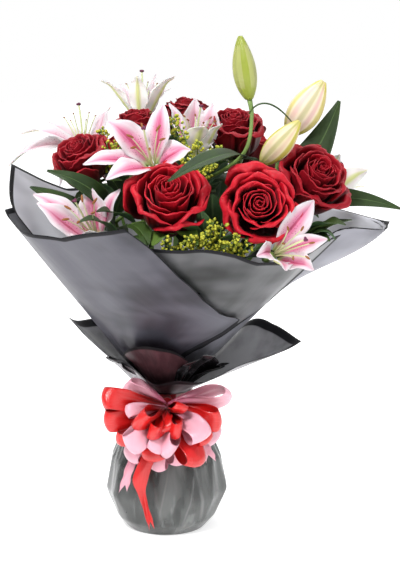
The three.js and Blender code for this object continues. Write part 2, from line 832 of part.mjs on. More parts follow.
// One point of a sheet: slant is the way up the cone, and below 0 the film hangs in the neck.
function onWrap(angle, slant, layer, flare = 0) {
  const lean = radians(wrapLean(angle));
  const rising = Math.max(slant, 0);
  const foot = wrapNeckRadius + layer * (wrapLayerStep + wrapLayerSpread * rising);
  const ripple = 2.2 * Math.sin(7 * angle + 1) * smooth(20, 240, slant) + flare;
  const radius = foot + rising * Math.sin(lean) + ripple * Math.cos(lean);
  const height = neckHeight + Math.min(slant, 0) + rising * Math.cos(lean) - ripple * Math.sin(lean);
  return vec(radius * Math.cos(angle), radius * Math.sin(angle), height);
}

// A side border of a sheet: its degrees round the axis at shares of the way from the neck to the rim.
const border = (...stops) => (share) => {
  const next = Math.max(1, stops.findIndex(([at]) => at >= share));
  const [a, b] = [stops[next - 1], stops[next]];
  return mix(a[1], b[1], (share - a[0]) / (b[0] - a[0]));
};

const sheets = [
  {
    name: "wrap_back",
    layer: () => 0,
    from: border([0, -95], [0.88, -25], [0.94, -15], [1, 7]),
    to: border([0, 192], [1, 192]),
    length: [[-24, 256], [7, 287], [36, 246], [90, 232], [140, 242], [168, 286], [192, 240]],
    flare: [[-17, 0], [7, 42], [44, 0]],
    cells: 20,
  },
  {
    name: "wrap_front_right",
    layer: () => 1,
    from: border([0, 228], [1, 240]),
    to: border([0, 282], [0.25, 291], [0.5, 325], [0.57, 338], [0.75, 344], [1, 344]),
    length: [
      [200, 220], [236, 224], [266, 228], [284, 228],
      [302, 235], [314, 241], [330, 246], [344, 242],
    ],
    flare: [[0, 0], [180, 0]],
    cells: 12,
  },
  {
    name: "wrap_front_left",
    layer: (degrees) => 1 + smooth(194, 226, degrees),
    from: border([0, 168], [1, 168]),
    to: border([0, 282], [0.25, 291], [0.41, 313], [0.5, 315], [0.54, 301], [0.62, 289], [0.76, 276], [1, 259]),
    length: [[168, 232], [187, 245], [208, 232], [232, 228], [259, 256], [316, 246]],
    flare: [[0, 0], [180, 0]],
    cells: 12,
  },
];
const sheetRows = 9;
const sheetFoot = -15; // how far below the spread a sheet ends

// A sheet of film, as a grid round the cone and up to its own rim line.
function wrapSheet(sheet, grow = 0) {
  const length = roundTheAxis(sheet.length, true);
  const flare = roundTheAxis(sheet.flare);
  const surface = (u, v) => {
    const step = v * sheetRows;
    const share = Math.max(0, step - 1) / (sheetRows - 1);
    const angle = radians(mix(sheet.from(share), sheet.to(share), u));
    const slant = step < 1 ? sheetFoot * (1 - step) : length(angle) * share;
    const layer = sheet.layer((angle * 180) / Math.PI);
    return onWrap(angle, slant, layer, flare(angle) * smooth(130, 280, slant));
  };
  return blade(surface, sheet.cells, sheetRows, filmThickness, grow);
}

// The dark flap of film that stands up in front, over the bow.
const flap = { middle: 264, lean: 43, length: 88, halfSpread: [36, 46], rows: 5 };
function frontFlap() {
  const lean = radians(flap.lean);
  const surface = (u, v) => {
    const across = 2 * u - 1;
    const step = v * flap.rows;
    const rising = (Math.max(step - 1, 0) / (flap.rows - 1)) * flap.length * (1 - 0.35 * across ** 2);
    const spread = mix(...flap.halfSpread, v) * (1 - 0.3 * v ** 4) * across;
    const angle = radians(flap.middle + spread);
    const radius = flapNeckRadius + rising * Math.sin(lean) + 7 * smooth(0.7, 1, v);
    const height = neckHeight - 10 * Math.max(1 - step, 0) + rising * Math.cos(lean);
    return vec(radius * Math.cos(angle), radius * Math.sin(angle), height);
  };
  return blade(surface, 6, flap.rows, filmThickness);
}

// The film bubble that holds the water: a flat base, a bulge, the tied neck,
// and above it a collar that flares into pointed corners.
const bubble = [
  [44, 0],
  [56, 14],
  [67, 43],
  [61, 80],
  [43, 122],
  [bagNeck.radius, bagNeck.low],
  [bagNeck.radius, bagNeck.high],
];
const collarLean = roundTheAxis([
  [-8, 63], [22, 48], [60, 50], [97, 52], [140, 44],
  [187, 45], [225, 43], [262, 56], [315, 63],
]);
const collarLength = roundTheAxis(
  [
    [-8, 138], [8, 112], [24, 98], [60, 66], [97, 108], [130, 70], [157, 96],
    [187, 122], [204, 98], [217, 66], [262, 32], [307, 52], [337, 100],
  ],
  true,
);
const collarRows = 2;
const bagAround = 20;

function bagPoint(angle, level) {
  const last = bubble.length - 1;
  if (level <= last) {
    const [radius, height] = bubble[level];
    const pleat = 1.4 * Math.sin(8 * angle) + 0.9 * Math.sin(13 * angle + 2);
    const r = radius + pleat * smooth(5, 40, height) * (1 - smooth(120, 146, height));
    return vec(r * Math.cos(angle), r * Math.sin(angle), height);
  }
  const lean = radians(collarLean(angle));
  const slant = (collarLength(angle) * (level - last)) / collarRows;
  const r = bagNeck.radius + slant * Math.sin(lean);
  const fold = 0.04 * slant * Math.sin(8 * angle);
  return vec(r * Math.cos(angle), r * Math.sin(angle), bagNeck.high + slant * Math.cos(lean) + fold);
}

// A closed cup of even wall: an outer and an inner skin, each closed by a point in the middle.
function filmBag() {
  const levels = bubble.length + collarRows;
  const outer = [];
  for (let j = 0; j < levels; j++)
    for (let i = 0; i < bagAround; i++) outer.push(bagPoint(radians(-8 + (360 * i) / bagAround), j));
  const at = (i, j) => {
    const row = THREE.MathUtils.clamp(j, 0, levels - 1);
    return outer[row * bagAround + ((i + bagAround) % bagAround)];
  };
  const inner = outer.map((p, k) => {
    const i = k % bagAround;
    const j = Math.floor(k / bagAround);
    const round = at(i + 1, j).clone().sub(at(i - 1, j));
    const rise = at(i, j + 1).clone().sub(at(i, j - 1));
    const q = p.clone().addScaledVector(round.cross(rise).normalize(), -filmThickness);
    if (j === 0) q.z = filmThickness;
    return q;
  });
  const skin = outer.length;
  const faces = [];
  for (let j = 0; j + 1 < levels; j++)
    for (let i = 0; i < bagAround; i++) {
      const a = j * bagAround + i;
      const b = j * bagAround + ((i + 1) % bagAround);
      const [c, d] = [b + bagAround, a + bagAround];
      faces.push([a, b, c], [a, c, d]);
      faces.push([a + skin, c + skin, b + skin], [a + skin, d + skin, c + skin]);
    }
  const points = [...outer, ...inner, vec(0, 0, 0), vec(0, 0, filmThickness)];
  const [under, floor] = [points.length - 2, points.length - 1];
  const rim = (levels - 1) * bagAround;
  for (let i = 0; i < bagAround; i++) {
    const next = (i + 1) % bagAround;
    faces.push([under, next, i], [floor, skin + i, skin + next]);
    faces.push([rim + i, rim + next, skin + rim + next], [rim + i, skin + rim + next, skin + rim + i]);
  }
  return solidOf(points, faces);
}

// The water fills the bubble to below the neck, and the stems stand in holes in it.
const waterLevel = 120;
const waterInset = filmThickness + 3.4;
function water() {
  const floor = filmThickness + clearance;
  const profile = [
    [0, floor],
    [41, floor],
    [56 - waterInset, 15],
    [67 - waterInset, 43],
    [61 - waterInset, 80],
    [44 - waterInset, waterLevel],
    [0, waterLevel],
  ];
  const body = turned(profile, 20, vec(0, 0, 0), vec(0, 0, 1));
  const holes = stems.map((s) => rod([s.foot, s.tied], stemSides, () => s.radius, clearance));
  return clearOf(body, holes);
}

function ring({ inner, outer, low, high }) {
  const profile = [
    [inner, low],
    [outer, low],
    [outer, high],
    [inner, high],
    [inner, low],
  ];
  return turned(profile, 16, vec(0, 0, 0), vec(0, 0, 1));
}

// The band round the neck has the knot in front, on which the bow sits.
function ribbonBand() {
  const knot = [
    [0, 0],
    [5.4, 0],
    [5, 7],
    [6.4, -bowMiddle[1] - band.outer + 1 - clearance],
    [0, -bowMiddle[1] - band.outer + 1 - clearance],
  ];
  const foot = vec(bowMiddle[0], -band.outer + 1, bowMiddle[2] + 1);
  return fused([ring(band), turned(knot, 8, foot, vec(0, -1, 0))]);
}

// The bow: four layers of ribbon loops, each on its own disc, leaning further forward from back
// to front. angle is seen from the front, 0 to the right and 90 up.
const bowLayers = [
  {
    name: "bow_pink_back",
    forward: 0,
    hub: { radius: 6.6, length: 4.6 },
    lean: 8,
    loops: [
      { angle: 12, reach: 72 },
      { angle: 154, reach: 52 },
      { angle: 328, reach: 68 },
      { angle: 236, reach: 74 },
      { angle: 282, reach: 68 },
    ],
    tails: [
      { path: [[-18, -57, 118], [-36, -63, 90], [-46, -69, 58]], width: 15 },
      { path: [[26, -60, 126], [44, -66, 108], [50, -68, 92]], width: 15 },
    ],
  },
  {
    name: "bow_red_middle",
    forward: 5,
    hub: { radius: 5.6, length: 4.6 },
    lean: 28,
    loops: [
      { angle: 164, reach: 80 },
      { angle: 352, reach: 68 },
      { angle: 302, reach: 80 },
      { angle: 254, reach: 68 },
      { angle: 208, reach: 72 },
    ],
    tails: [
      {
        path: [[-5, -59, 134], [-11, -69, 117], [-19, -79, 98], [-26, -84, 76], [-14, -81, 20]],
        width: 19,
      },
    ],
  },
  {
    name: "bow_pink_front",
    forward: 10,
    hub: { radius: 4, length: 6.6 },
    lean: 45,
    loops: [
      { angle: 214, reach: 78 },
      { angle: 276, reach: 68 },
      { angle: 335, reach: 70 },
    ],
    tails: [],
  },
  {
    name: "bow_red_front",
    forward: 17,
    hub: { radius: 3, length: 4.6 },
    lean: 62,
    loops: [
      { angle: 176, reach: 62 },
      { angle: 38, reach: 46 },
      { angle: 262, reach: 46 },
    ],
    tails: [],
  },
];
const hubBack = 1.6; // from the back of a hub to where its loops meet
const hangingLean = 14; // how much more the lower loops lean forward, over the bubble

// One loop: a drop-shaped ribbon path out along its direction and back, pinched at the knot.
function bowLoop(centre, { angle, reach }, layerLean, grow) {
  const lean = radians(layerLean + hangingLean * Math.max(0, -Math.sin(radians(angle))));
  const radial = vec(Math.cos(radians(angle)), 0, Math.sin(radians(angle)));
  const forward = vec(0, -1, 0);
  const along = radial.clone().multiplyScalar(Math.cos(lean)).addScaledVector(forward, Math.sin(lean));
  const across = radial.clone().cross(forward).normalize();
  const bulge = along.clone().cross(across).normalize();
  const surface = (u, v) => {
    const turn = Math.PI * (2 * v - 1);
    const share = Math.cos(turn / 2) ** 0.8;
    const open = 0.1 * reach * Math.sin(turn) + Math.sign(Math.round(100 * turn)) * 0.6;
    const width = ribbonWidth * mix(0.1, 1, Math.min(1, share / 0.7));
    return centre
      .clone()
      .addScaledVector(along, mix(1, reach, share))
      .addScaledVector(bulge, open)
      .addScaledVector(across, (u - 0.5) * width);
  };
  return blade(surface, 1, 6, ribbonThickness, grow);
}

function bowTail(centre, { path, width }, grow) {
  const line = through([centre.clone(), ...path.map(fromList)]);
  const surface = (u, v) => {
    const half = (width / 2) * mix(0.25, 1, smooth(0, 0.4, v));
    return line.getPoint(v).addScaledVector(vec(0.97, 0, 0.24), (2 * u - 1) * half);
  };
  return blade(surface, 1, 5, ribbonThickness, grow);
}

function bowLayer(layer, grow = 0) {
  const start = fromList(bowMiddle).add(vec(0, -layer.forward, 0));
  const profile = [
    [0, -grow],
    [layer.hub.radius + grow, -grow],
    [layer.hub.radius + grow, layer.hub.length + grow],
    [0, layer.hub.length + grow],
  ];
  const pieces = [turned(profile, 8, start, vec(0, -1, 0))];
  const centre = start.clone().add(vec(0, -hubBack, 0));
  for (const loop of layer.loops) pieces.push(bowLoop(centre, loop, layer.lean, grow));
  for (const tail of layer.tails) pieces.push(bowTail(centre, tail, grow));
  return fused(pieces);
}

// Finishes

const colours = {
  rosePetal: { color: 0xb40a1c, roughness: 0.6 },
  lilyPetal: { color: 0xf2c4d6, roughness: 0.55 },
  stamen: { color: 0x8a7a3a, roughness: 0.7 },
  greenBud: { color: 0xa9c23f, roughness: 0.5 },
  paleBud: { color: 0xe9e0b4, roughness: 0.5 },
  stem: { color: 0x4f7436, roughness: 0.6 },
  leaf: { color: 0x2f5a34, roughness: 0.45 },
  goldenrod: { color: 0xb9ba38, roughness: 0.8 },
  film: { color: 0x6d6c72, roughness: 0.35 },
  flap: { color: 0x3a2f35, roughness: 0.3 },
  water: { color: 0xb8c4c8, roughness: 0.05 },
  twine: { color: 0x9b8a62, roughness: 0.9 },
  redRibbon: { color: 0xf01f22, roughness: 0.3 },
  pinkRibbon: { color: 0xf6b3cb, roughness: 0.3 },
};

const bouquet = new THREE.Group();

function add(name, solid, finish) {
  const mesh = solid.getMesh();
  const geometry = new THREE.BufferGeometry();
  geometry.setAttribute("position", new THREE.BufferAttribute(mesh.vertProperties, 3));
  geometry.setIndex(new THREE.BufferAttribute(mesh.triVerts, 1));
  geometry.computeVertexNormals();
  const piece = new THREE.Mesh(geometry, new THREE.MeshStandardMaterial(colours[finish]));
  piece.name = name;
  bouquet.add(piece);
}

// The bouquet is put together from the roses outwards. Each piece keeps clear of the rooms of
// those before it, and leaves and florets come last, on the stems that carry them.
const rooms = [];
const cutBack = (solid, except = []) =>
  clearOf(
    solid,
    rooms.filter((room) => !except.includes(room.name)).map((room) => room.solid),
  );
const keepRoom = (name, solid) => rooms.push({ name, solid });

for (const rose of roses) {
  add("rose_" + rose.name, cutBack(roseBloom(rose)), "rosePetal");
  keepRoom("rose_" + rose.name, roseRoom(rose));
}
for (const stem of stems.filter((s) => s.rose)) {
  add(stem.name, cutBack(roseStem(stem), ["rose_" + stem.rose.name]), "stem");
  keepRoom(stem.name, roseStem(stem, clearance));
}
// Leaves less the rooms of the others, with all their parts.
function cutOpen(solid, except) {
  return rooms
    .filter((room) => !except.includes(room.name))
    .reduce((left, room) => left.subtract(room.solid), solid);
}

const leafy = [...lilyStems, ...foliageStems, ...goldenrods];
const bareStem = (spec, grow) =>
  spec.carries ? lilyStem(spec, grow) : stemRod(stemOf(spec.name), grow);
const bare = new Map();
for (const spec of leafy) {
  bare.set(spec.name, cutBack(bareStem(spec)));
  keepRoom(spec.name, bareStem(spec, clearance));
}
for (const sheet of sheets) keepRoom(sheet.name, wrapSheet(sheet, clearance));
for (const lily of lilies) {
  const name = "lily_" + lily.name;
  add(name, cutBack(lilyBloom(lily)), "lilyPetal");
  keepRoom(name, lilyBloom(lily, clearance));
  add(name + "_stamens", cutBack(lilyStamens(lily)), "stamen");
  keepRoom(name + "_stamens", lilyStamens(lily));
}
for (const bud of buds) {
  add("bud_" + bud.name, cutBack(budPod(bud)), bud.name === "green" ? "greenBud" : "paleBud");
  keepRoom("bud_" + bud.name, budPod(bud, clearance));
}
for (const spec of leafy) {
  const dressing = spec.leaves ? leavesOf : goldenrodBranches;
  const kept = cutOpen(dressing(spec), [spec.name]);
  add(spec.name, clearOf(bare.get(spec.name).add(kept), []), spec.leaves ? "leaf" : "goldenrod");
  keepRoom(spec.name + "_leaves", dressing(spec, clearance));
}

add("tie_twine", ring(twine), "twine");
add("bag_water", water(), "water");
for (const sheet of sheets) add(sheet.name, wrapSheet(sheet), "film");
add("film_flap", frontFlap(), "flap");
add("film_bag", filmBag(), "film");
add("ribbon_band", ribbonBand(), "redRibbon");
const bowRooms = [];
for (const layer of bowLayers) {
  const finish = layer.name.includes("red") ? "redRibbon" : "pinkRibbon";
  add(layer.name, clearOf(bowLayer(layer), bowRooms), finish);
  bowRooms.push(bowLayer(layer, clearance));
}

export default bouquet;
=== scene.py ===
# A hand-tied bouquet of red roses, pink lilies, goldenrod and leaves, wrapped in grey film,
# tied with a ribbon bow and standing on a film bubble full of water.
# Shapes are worked out in millimetres and become metres when a mesh is made. -Y is the front.
import bpy
import numpy as np
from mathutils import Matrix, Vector


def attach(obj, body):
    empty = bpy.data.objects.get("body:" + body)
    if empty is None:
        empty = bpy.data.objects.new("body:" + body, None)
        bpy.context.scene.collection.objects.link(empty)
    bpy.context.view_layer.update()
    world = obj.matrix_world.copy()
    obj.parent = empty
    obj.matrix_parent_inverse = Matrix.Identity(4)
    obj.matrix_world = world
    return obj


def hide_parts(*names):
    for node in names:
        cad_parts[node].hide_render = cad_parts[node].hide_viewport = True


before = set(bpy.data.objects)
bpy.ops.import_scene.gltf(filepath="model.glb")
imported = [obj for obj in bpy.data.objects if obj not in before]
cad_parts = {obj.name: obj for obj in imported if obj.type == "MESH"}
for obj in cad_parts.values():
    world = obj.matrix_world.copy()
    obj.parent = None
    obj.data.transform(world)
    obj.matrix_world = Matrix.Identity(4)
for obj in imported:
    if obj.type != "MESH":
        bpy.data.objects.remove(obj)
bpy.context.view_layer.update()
millimetre = 0.001
fullTurn = 2 * np.pi
goldenAngle = 2.399963
weldGap = 1e-6                # metres
spanSteps = 60                # points of a spline between two of its stops


# Vectors and curves

def at(*xyz):
    return np.array(xyz, float)

def unit(a):
    return a / np.maximum(np.linalg.norm(a, axis=-1, keepdims=True), 1e-9)

def mix(a, b, t):
    return a + (b - a) * t

def smooth(low, high, x):
    t = np.clip((x - low) / (high - low), 0, 1)
    return t * t * (3 - 2 * t)

# 0 below the first stop and above the last one, 1 between the other two, eased from stop to stop
def window(low, full, fall, high, x):
    return smooth(low, full, x) * (1 - smooth(fall, high, x))

# Unit vectors square to an axis, at angles round it; angle 0 is the upward side
def roundAxis(axis, angle):
    side = at(0, 0, 1) - axis * axis[2]
    if side @ side < 1e-6:
        side = at(0, -1, 0) + axis * axis[1]
    side = unit(side)
    angle = np.asarray(angle, float)[..., None]
    return side * np.cos(angle) + np.cross(axis, side) * np.sin(angle)

# Quadratic Bezier: the point and the unit tangent at t of the arc from a over b to c
def arch(a, b, c, t):
    a, b, c = (np.asarray(p, float) for p in (a, b, c))
    t = np.asarray(t, float)[..., None]
    point = (1 - t) ** 2 * a + 2 * (1 - t) * t * b + t ** 2 * c
    return point, unit(2 * (1 - t) * (b - a) + 2 * t * (c - b))

# Points of a line, at places on a scale that its own points have too
def pointsAt(where, scale, line):
    return np.stack([np.interp(where, scale, line[:, k]) for k in range(3)], -1)

# Points at a radius, an angle and a height
def polar(radius, angle, height):
    return np.stack(np.broadcast_arrays(radius * np.cos(angle), radius * np.sin(angle), height), -1)

# Centripetal spline through the points, then the given number of points evenly along it
def lineThrough(points, count):
    p = np.asarray(points, float)
    p = np.vstack([2 * p[0] - p[1], p, 2 * p[-1] - p[-2]])
    gap = np.linalg.norm(np.diff(p, axis=0), axis=1) ** 0.5
    t = np.linspace(0, 1, spanSteps)[:, None]
    runs = []
    for k in range(1, len(p) - 2):
        a, b, c, d = p[k - 1:k + 3]
        g0, g1, g2 = gap[k - 1:k + 2]
        leave = ((b - a) / g0 - (c - a) / (g0 + g1) + (c - b) / g1) * g1
        arrive = ((c - b) / g1 - (d - b) / (g1 + g2) + (d - c) / g2) * g1
        runs.append(b + leave * t + (3 * (c - b) - 2 * leave - arrive) * t ** 2
                    + (2 * (b - c) + leave + arrive) * t ** 3)
    fine = np.vstack(runs)
    along = np.concatenate([[0], np.cumsum(np.linalg.norm(np.diff(fine, axis=0), axis=1))])
    return pointsAt(np.linspace(0, along[-1], count), along, fine)

# Value between [degrees, value] stops round a circle, eased or straight from stop to stop
def roundStops(stops, degrees, straight=False):
    angle, value = np.array(sorted((a % 360, b) for a, b in stops)).T
    angle = np.concatenate([[angle[-1] - 360], angle, [angle[0] + 360]])
    value = np.concatenate([[value[-1]], value, [value[0]]])
    d = np.mod(degrees, 360)
    k = np.clip(np.searchsorted(angle, d, side="right") - 1, 0, len(angle) - 2)
    share = (d - angle[k]) / (angle[k + 1] - angle[k])
    return mix(value[k], value[k + 1], share if straight else smooth(0, 1, share))

# Parameters u (across) and v (along), both 0 to 1, as two arrays of rows by columns
def uvGrid(columns, rows):
    return np.meshgrid(np.linspace(0, 1, columns), np.linspace(0, 1, rows))

# The same with u from -1 at the left edge to 1 at the right one
def bladeGrid(columns, rows):
    u, v = uvGrid(columns, rows)
    return 2 * u - 1, v

# A half wave, 0 at both ends of 0 to 1 and 1 in the middle
def hump(x):
    return np.sin(np.pi * x)


# Meshes out of surface grids

class Patchwork:
    def __init__(self):
        self.points, self.quads, self.uvs, self.tones, self.count = [], [], [], [], 0

    # A grid of rows by columns of points, or a stack of grids; tone is one number for each vertex
    def add(self, surface, u=None, v=None, tone=0.0, closed=False):
        surface = surface.reshape(-1, *surface.shape[-3:])
        stack, rows, columns, _ = surface.shape
        index = np.arange(stack * rows * columns).reshape(stack, rows, columns) + self.count
        near, far = (index, np.roll(index, -1, 2)) if closed else (index[:, :, :-1], index[:, :, 1:])
        self.quads.append(
            np.stack([near[:, :-1], far[:, :-1], far[:, 1:], near[:, 1:]], -1).reshape(-1, 4))
        gridU, gridV = uvGrid(columns, rows)
        shape = (stack, rows, columns)
        u = gridU if u is None else u
        v = gridV if v is None else v
        self.points.append(surface.reshape(-1, 3))
        self.uvs.append(
            np.stack([np.broadcast_to(u, shape), np.broadcast_to(v, shape)], -1).reshape(-1, 2))
        self.tones.append(np.broadcast_to(tone, shape).reshape(-1))
        self.count += index.size
        return self

    # A round tube along a line, closed at both ends; radius is one number or one for each point
    def tube(self, line, radius, sides=8, tone=0.0, lobes=0.0):
        line = np.asarray(line, float)
        radius = np.broadcast_to(np.asarray(radius, float), len(line))
        line = np.vstack([line[:1], line, line[-1:]])
        radius = np.concatenate([[0], radius, [0]])
        tangent = np.gradient(line, axis=0)
        tangent[0], tangent[-1] = tangent[1], tangent[-2]
        tangent = unit(tangent)
        side = unit(np.cross(tangent, roundAxis(unit(line[-1] - line[0]), 0.3)))
        other = np.cross(tangent, side)
        angle = np.linspace(0, fullTurn, sides, endpoint=False)
        ring = np.cos(angle)[:, None] * side[:, None] + np.sin(angle)[:, None] * other[:, None]
        swell = radius[:, None] * (1 + lobes * np.cos(3 * angle))
        return self.add(line[:, None] + ring * swell[..., None], tone=tone, closed=True)

    # One mesh of all that was added, in metres, smooth, with its uv map and its tone
    def mesh(self, name):
        points = np.concatenate(self.points) * millimetre
        quads = np.concatenate(self.quads)
        uvs = np.concatenate(self.uvs)
        mesh = bpy.data.meshes.new(name)
        mesh.vertices.add(len(points))
        mesh.vertices.foreach_set("co", points.ravel())
        mesh.loops.add(quads.size)
        mesh.loops.foreach_set("vertex_index", quads.ravel())
        mesh.polygons.add(len(quads))
        mesh.polygons.foreach_set("loop_start", np.arange(0, quads.size, 4))
        mesh.uv_layers.new(name="UVMap").data.foreach_set("uv", uvs[quads.ravel()].ravel())
        tone = mesh.attributes.new("tone", "FLOAT", "POINT")
        tone.data.foreach_set("value", np.concatenate(self.tones).astype(np.float32))
        mesh.polygons.foreach_set("use_smooth", np.ones(len(quads), bool))
        mesh.update(calc_edges=True)
        return mesh


# A new object with its data, in the scene
def addObject(name, data):
    thing = bpy.data.objects.new(name, data)
    bpy.context.scene.collection.objects.link(thing)
    return thing

# A piece of the bouquet: it gets its materials, its wall and its place in the frame.
# wall is the thickness of a sheet, whose back takes the last of its materials
def makePiece(name, patch, materials, slotName, nodes=(), wall=0.0):
    piece = addObject(name, patch.mesh(name))
    for material in materials:
        piece.data.materials.append(material)
    piece.modifiers.new("weld", "WELD").merge_threshold = weldGap
    if wall:
        solid = piece.modifiers.new("wall", "SOLIDIFY")
        solid.thickness = wall * millimetre
        solid.offset = 0
        solid.use_quality_normals = True
        solid.material_offset = len(materials) - 1
    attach(piece, "root")
    if nodes:
        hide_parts(*nodes)
    return piece

# A solid of the source that stays in the scene, with a material of its own
def dressNode(name, material):
    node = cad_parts[name]
    node.data.materials.clear()
    node.data.materials.append(material)


# Shader expressions

class Socket:
    def __init__(self, tree, link):
        self.tree, self.link = tree, link

    def maths(self, operation, *values):
        node = self.tree.nodes.new("ShaderNodeMath")
        node.operation = operation
        for k, value in enumerate(values):
            plug(self.tree, node.inputs[k], value)
        return Socket(self.tree, node.outputs[0])

    def __add__(self, other):
        return self.maths("ADD", self, other)

    def __radd__(self, other):
        return self.maths("ADD", other, self)

    def __sub__(self, other):
        return self.maths("SUBTRACT", self, other)

    def __rsub__(self, other):
        return self.maths("SUBTRACT", other, self)

    def __mul__(self, other):
        return self.maths("MULTIPLY", self, other)

    def sine(self):
        return self.maths("SINE", self)

    def size(self):
        return self.maths("ABSOLUTE", self)

    def least(self, other):
        return self.maths("MINIMUM", self, other)

    # 0 below low, 1 above high, eased between them
    def between(self, low, high):
        return addNode(self.tree, "MapRange", {"interpolation_type": "SMOOTHSTEP"},
                       Value=self, From_Min=low, From_Max=high)

    # 1 below low, 0 above high, eased between them
    def fade(self, low, high):
        return 1 - self.between(low, high)

    # Distance from the middle of 0 to 1, which is 1 at both ends
    def fromMiddle(self):
        return (self * 2 - 1).size()

    # The colour a where this is 0, and b where it is 1
    def blend(self, a, b):
        return addNode(self.tree, "Mix", {"data_type": "RGBA"}, 2, Factor=self, A=a, B=b)

    # One of the three parts of this vector
    def part(self, k):
        return addNode(self.tree, "SeparateXYZ", None, k, Vector=self)

    # A vector times three factors
    def scaled(self, *factors):
        node = self.tree.nodes.new("ShaderNodeVectorMath")
        node.operation = "MULTIPLY"
        plug(self.tree, node.inputs[0], self)
        node.inputs[1].default_value = factors
        return Socket(self.tree, node.outputs[0])

    # Soft noise on this vector, with the given number of features in its unit
    def noise(self, scale, detail=2.0, rough=0.5):
        return addNode(self.tree, "TexNoise", None, 0,
                       Vector=self, Scale=scale, Detail=detail, Roughness=rough)

    # The same on a uv map, with one number of features across it and one along it
    def streaks(self, across, along, detail=2.0, rough=0.5):
        return self.scaled(across, along, 1).noise(1, detail, rough)

# A value or a link goes into a socket; three numbers for a colour get a full alpha
def plug(tree, socket, value):
    if isinstance(value, Socket):
        tree.links.new(value.link, socket)
    elif isinstance(value, tuple) and len(value) == 3 and socket.type == "RGBA":
        socket.default_value = (*value, 1)
    else:
        socket.default_value = value

# One node of any type: its settings first, then the values or links of its sockets by name
def addNode(tree, kind, settings=None, out=0, **sockets):
    node = tree.nodes.new("ShaderNode" + kind)
    for key, value in (settings or {}).items():
        setattr(node, key, value)
    for key, value in sockets.items():
        fits = [s for s in node.inputs if s.name == key.replace("_", " ") and s.enabled]
        plug(tree, fits[0], value)
    return Socket(tree, node.outputs[out])

# A Principled material. fixed holds the numbers that are the same all over, and paint returns by
# name what changes over the surface, from u, v, the tone of the piece, its place and its uv map
def makeMaterial(name, fixed, paint):
    material = bpy.data.materials.new(name)
    material.use_nodes = True
    tree = material.node_tree
    shader = tree.nodes["Principled BSDF"]
    for key, value in fixed.items():
        plug(tree, shader.inputs[key], value)
    uv = addNode(tree, "UVMap", {"uv_map": "UVMap"})
    tone = addNode(tree, "Attribute", {"attribute_name": "tone"}, 2)
    place = addNode(tree, "TexCoord", None, 3)
    for key, value in paint(uv.part(0), uv.part(1), tone, place, uv).items():
        if key == "Bump":
            height, strength, distance = value
            value = addNode(tree, "Bump", Height=height, Strength=strength, Distance=distance)
            key = "Normal"
        plug(tree, shader.inputs[key], value)
    return material

print("helpers ready")


# Roses: petals on a golden-angle spiral, tight cups in the middle and wide ones that curl outside

roseLook = {
    "heightShare": 0.68,      # of the width across
    "wall": 0.5,
    "grid": (19, 21),         # points across and along a petal
    "seed": 100,
    "rings": [                # petals, rim radius, rim height, lip, half width: first and last petal
        (10, (.05, .33), (1.02, .99), (0, .04), (2.3, 1.35)),
        (8, (.40, .66), (.99, .90), (.06, .14), (1.15, .95)),
        (9, (.76, 1.0), (.86, .66), (.18, .3), (.9, .74)),
    ],
    "places": [               # name, middle of the head, where it faces, width across, turn, brightness
        ("left", (-87, -25, 412), (-.4, -.35, .85), 74, 20, .3),
        ("back_left", (-29, 8, 444), (-.1, -.1, .99), 60, 70, .25),
        ("back_middle", (22, 74, 449), (.1, .3, .95), 62, 10, .2),
        ("upper_right", (76, 18, 437), (-.05, -.3, .95), 72, 45, .2),
        ("front_middle", (5, -100, 381), (.03, -.7, .72), 92, 0, .75),
        ("front_right", (97, -102, 378), (.05, -.95, .3), 90, 36, 1),
        ("right", (155, -34, 392), (.42, -.62, .66), 90, 15, .35),
        ("back_right", (100, 92, 396), (.45, .55, .7), 74, 50, .5),
        ("back_outer", (-50, 120, 392), (-.35, .7, .62), 74, 30, .5),
    ],
}

# The axis of a rose, the foot of its bloom under the middle of the head, its height, radius and turn
def roseFrame(place):
    _, heart, facing, across, turn, _ = place
    axis = unit(at(*facing))
    height = across * roseLook["heightShare"]
    return axis, at(*heart) - axis * height / 2, height, across / 2, np.radians(turn)

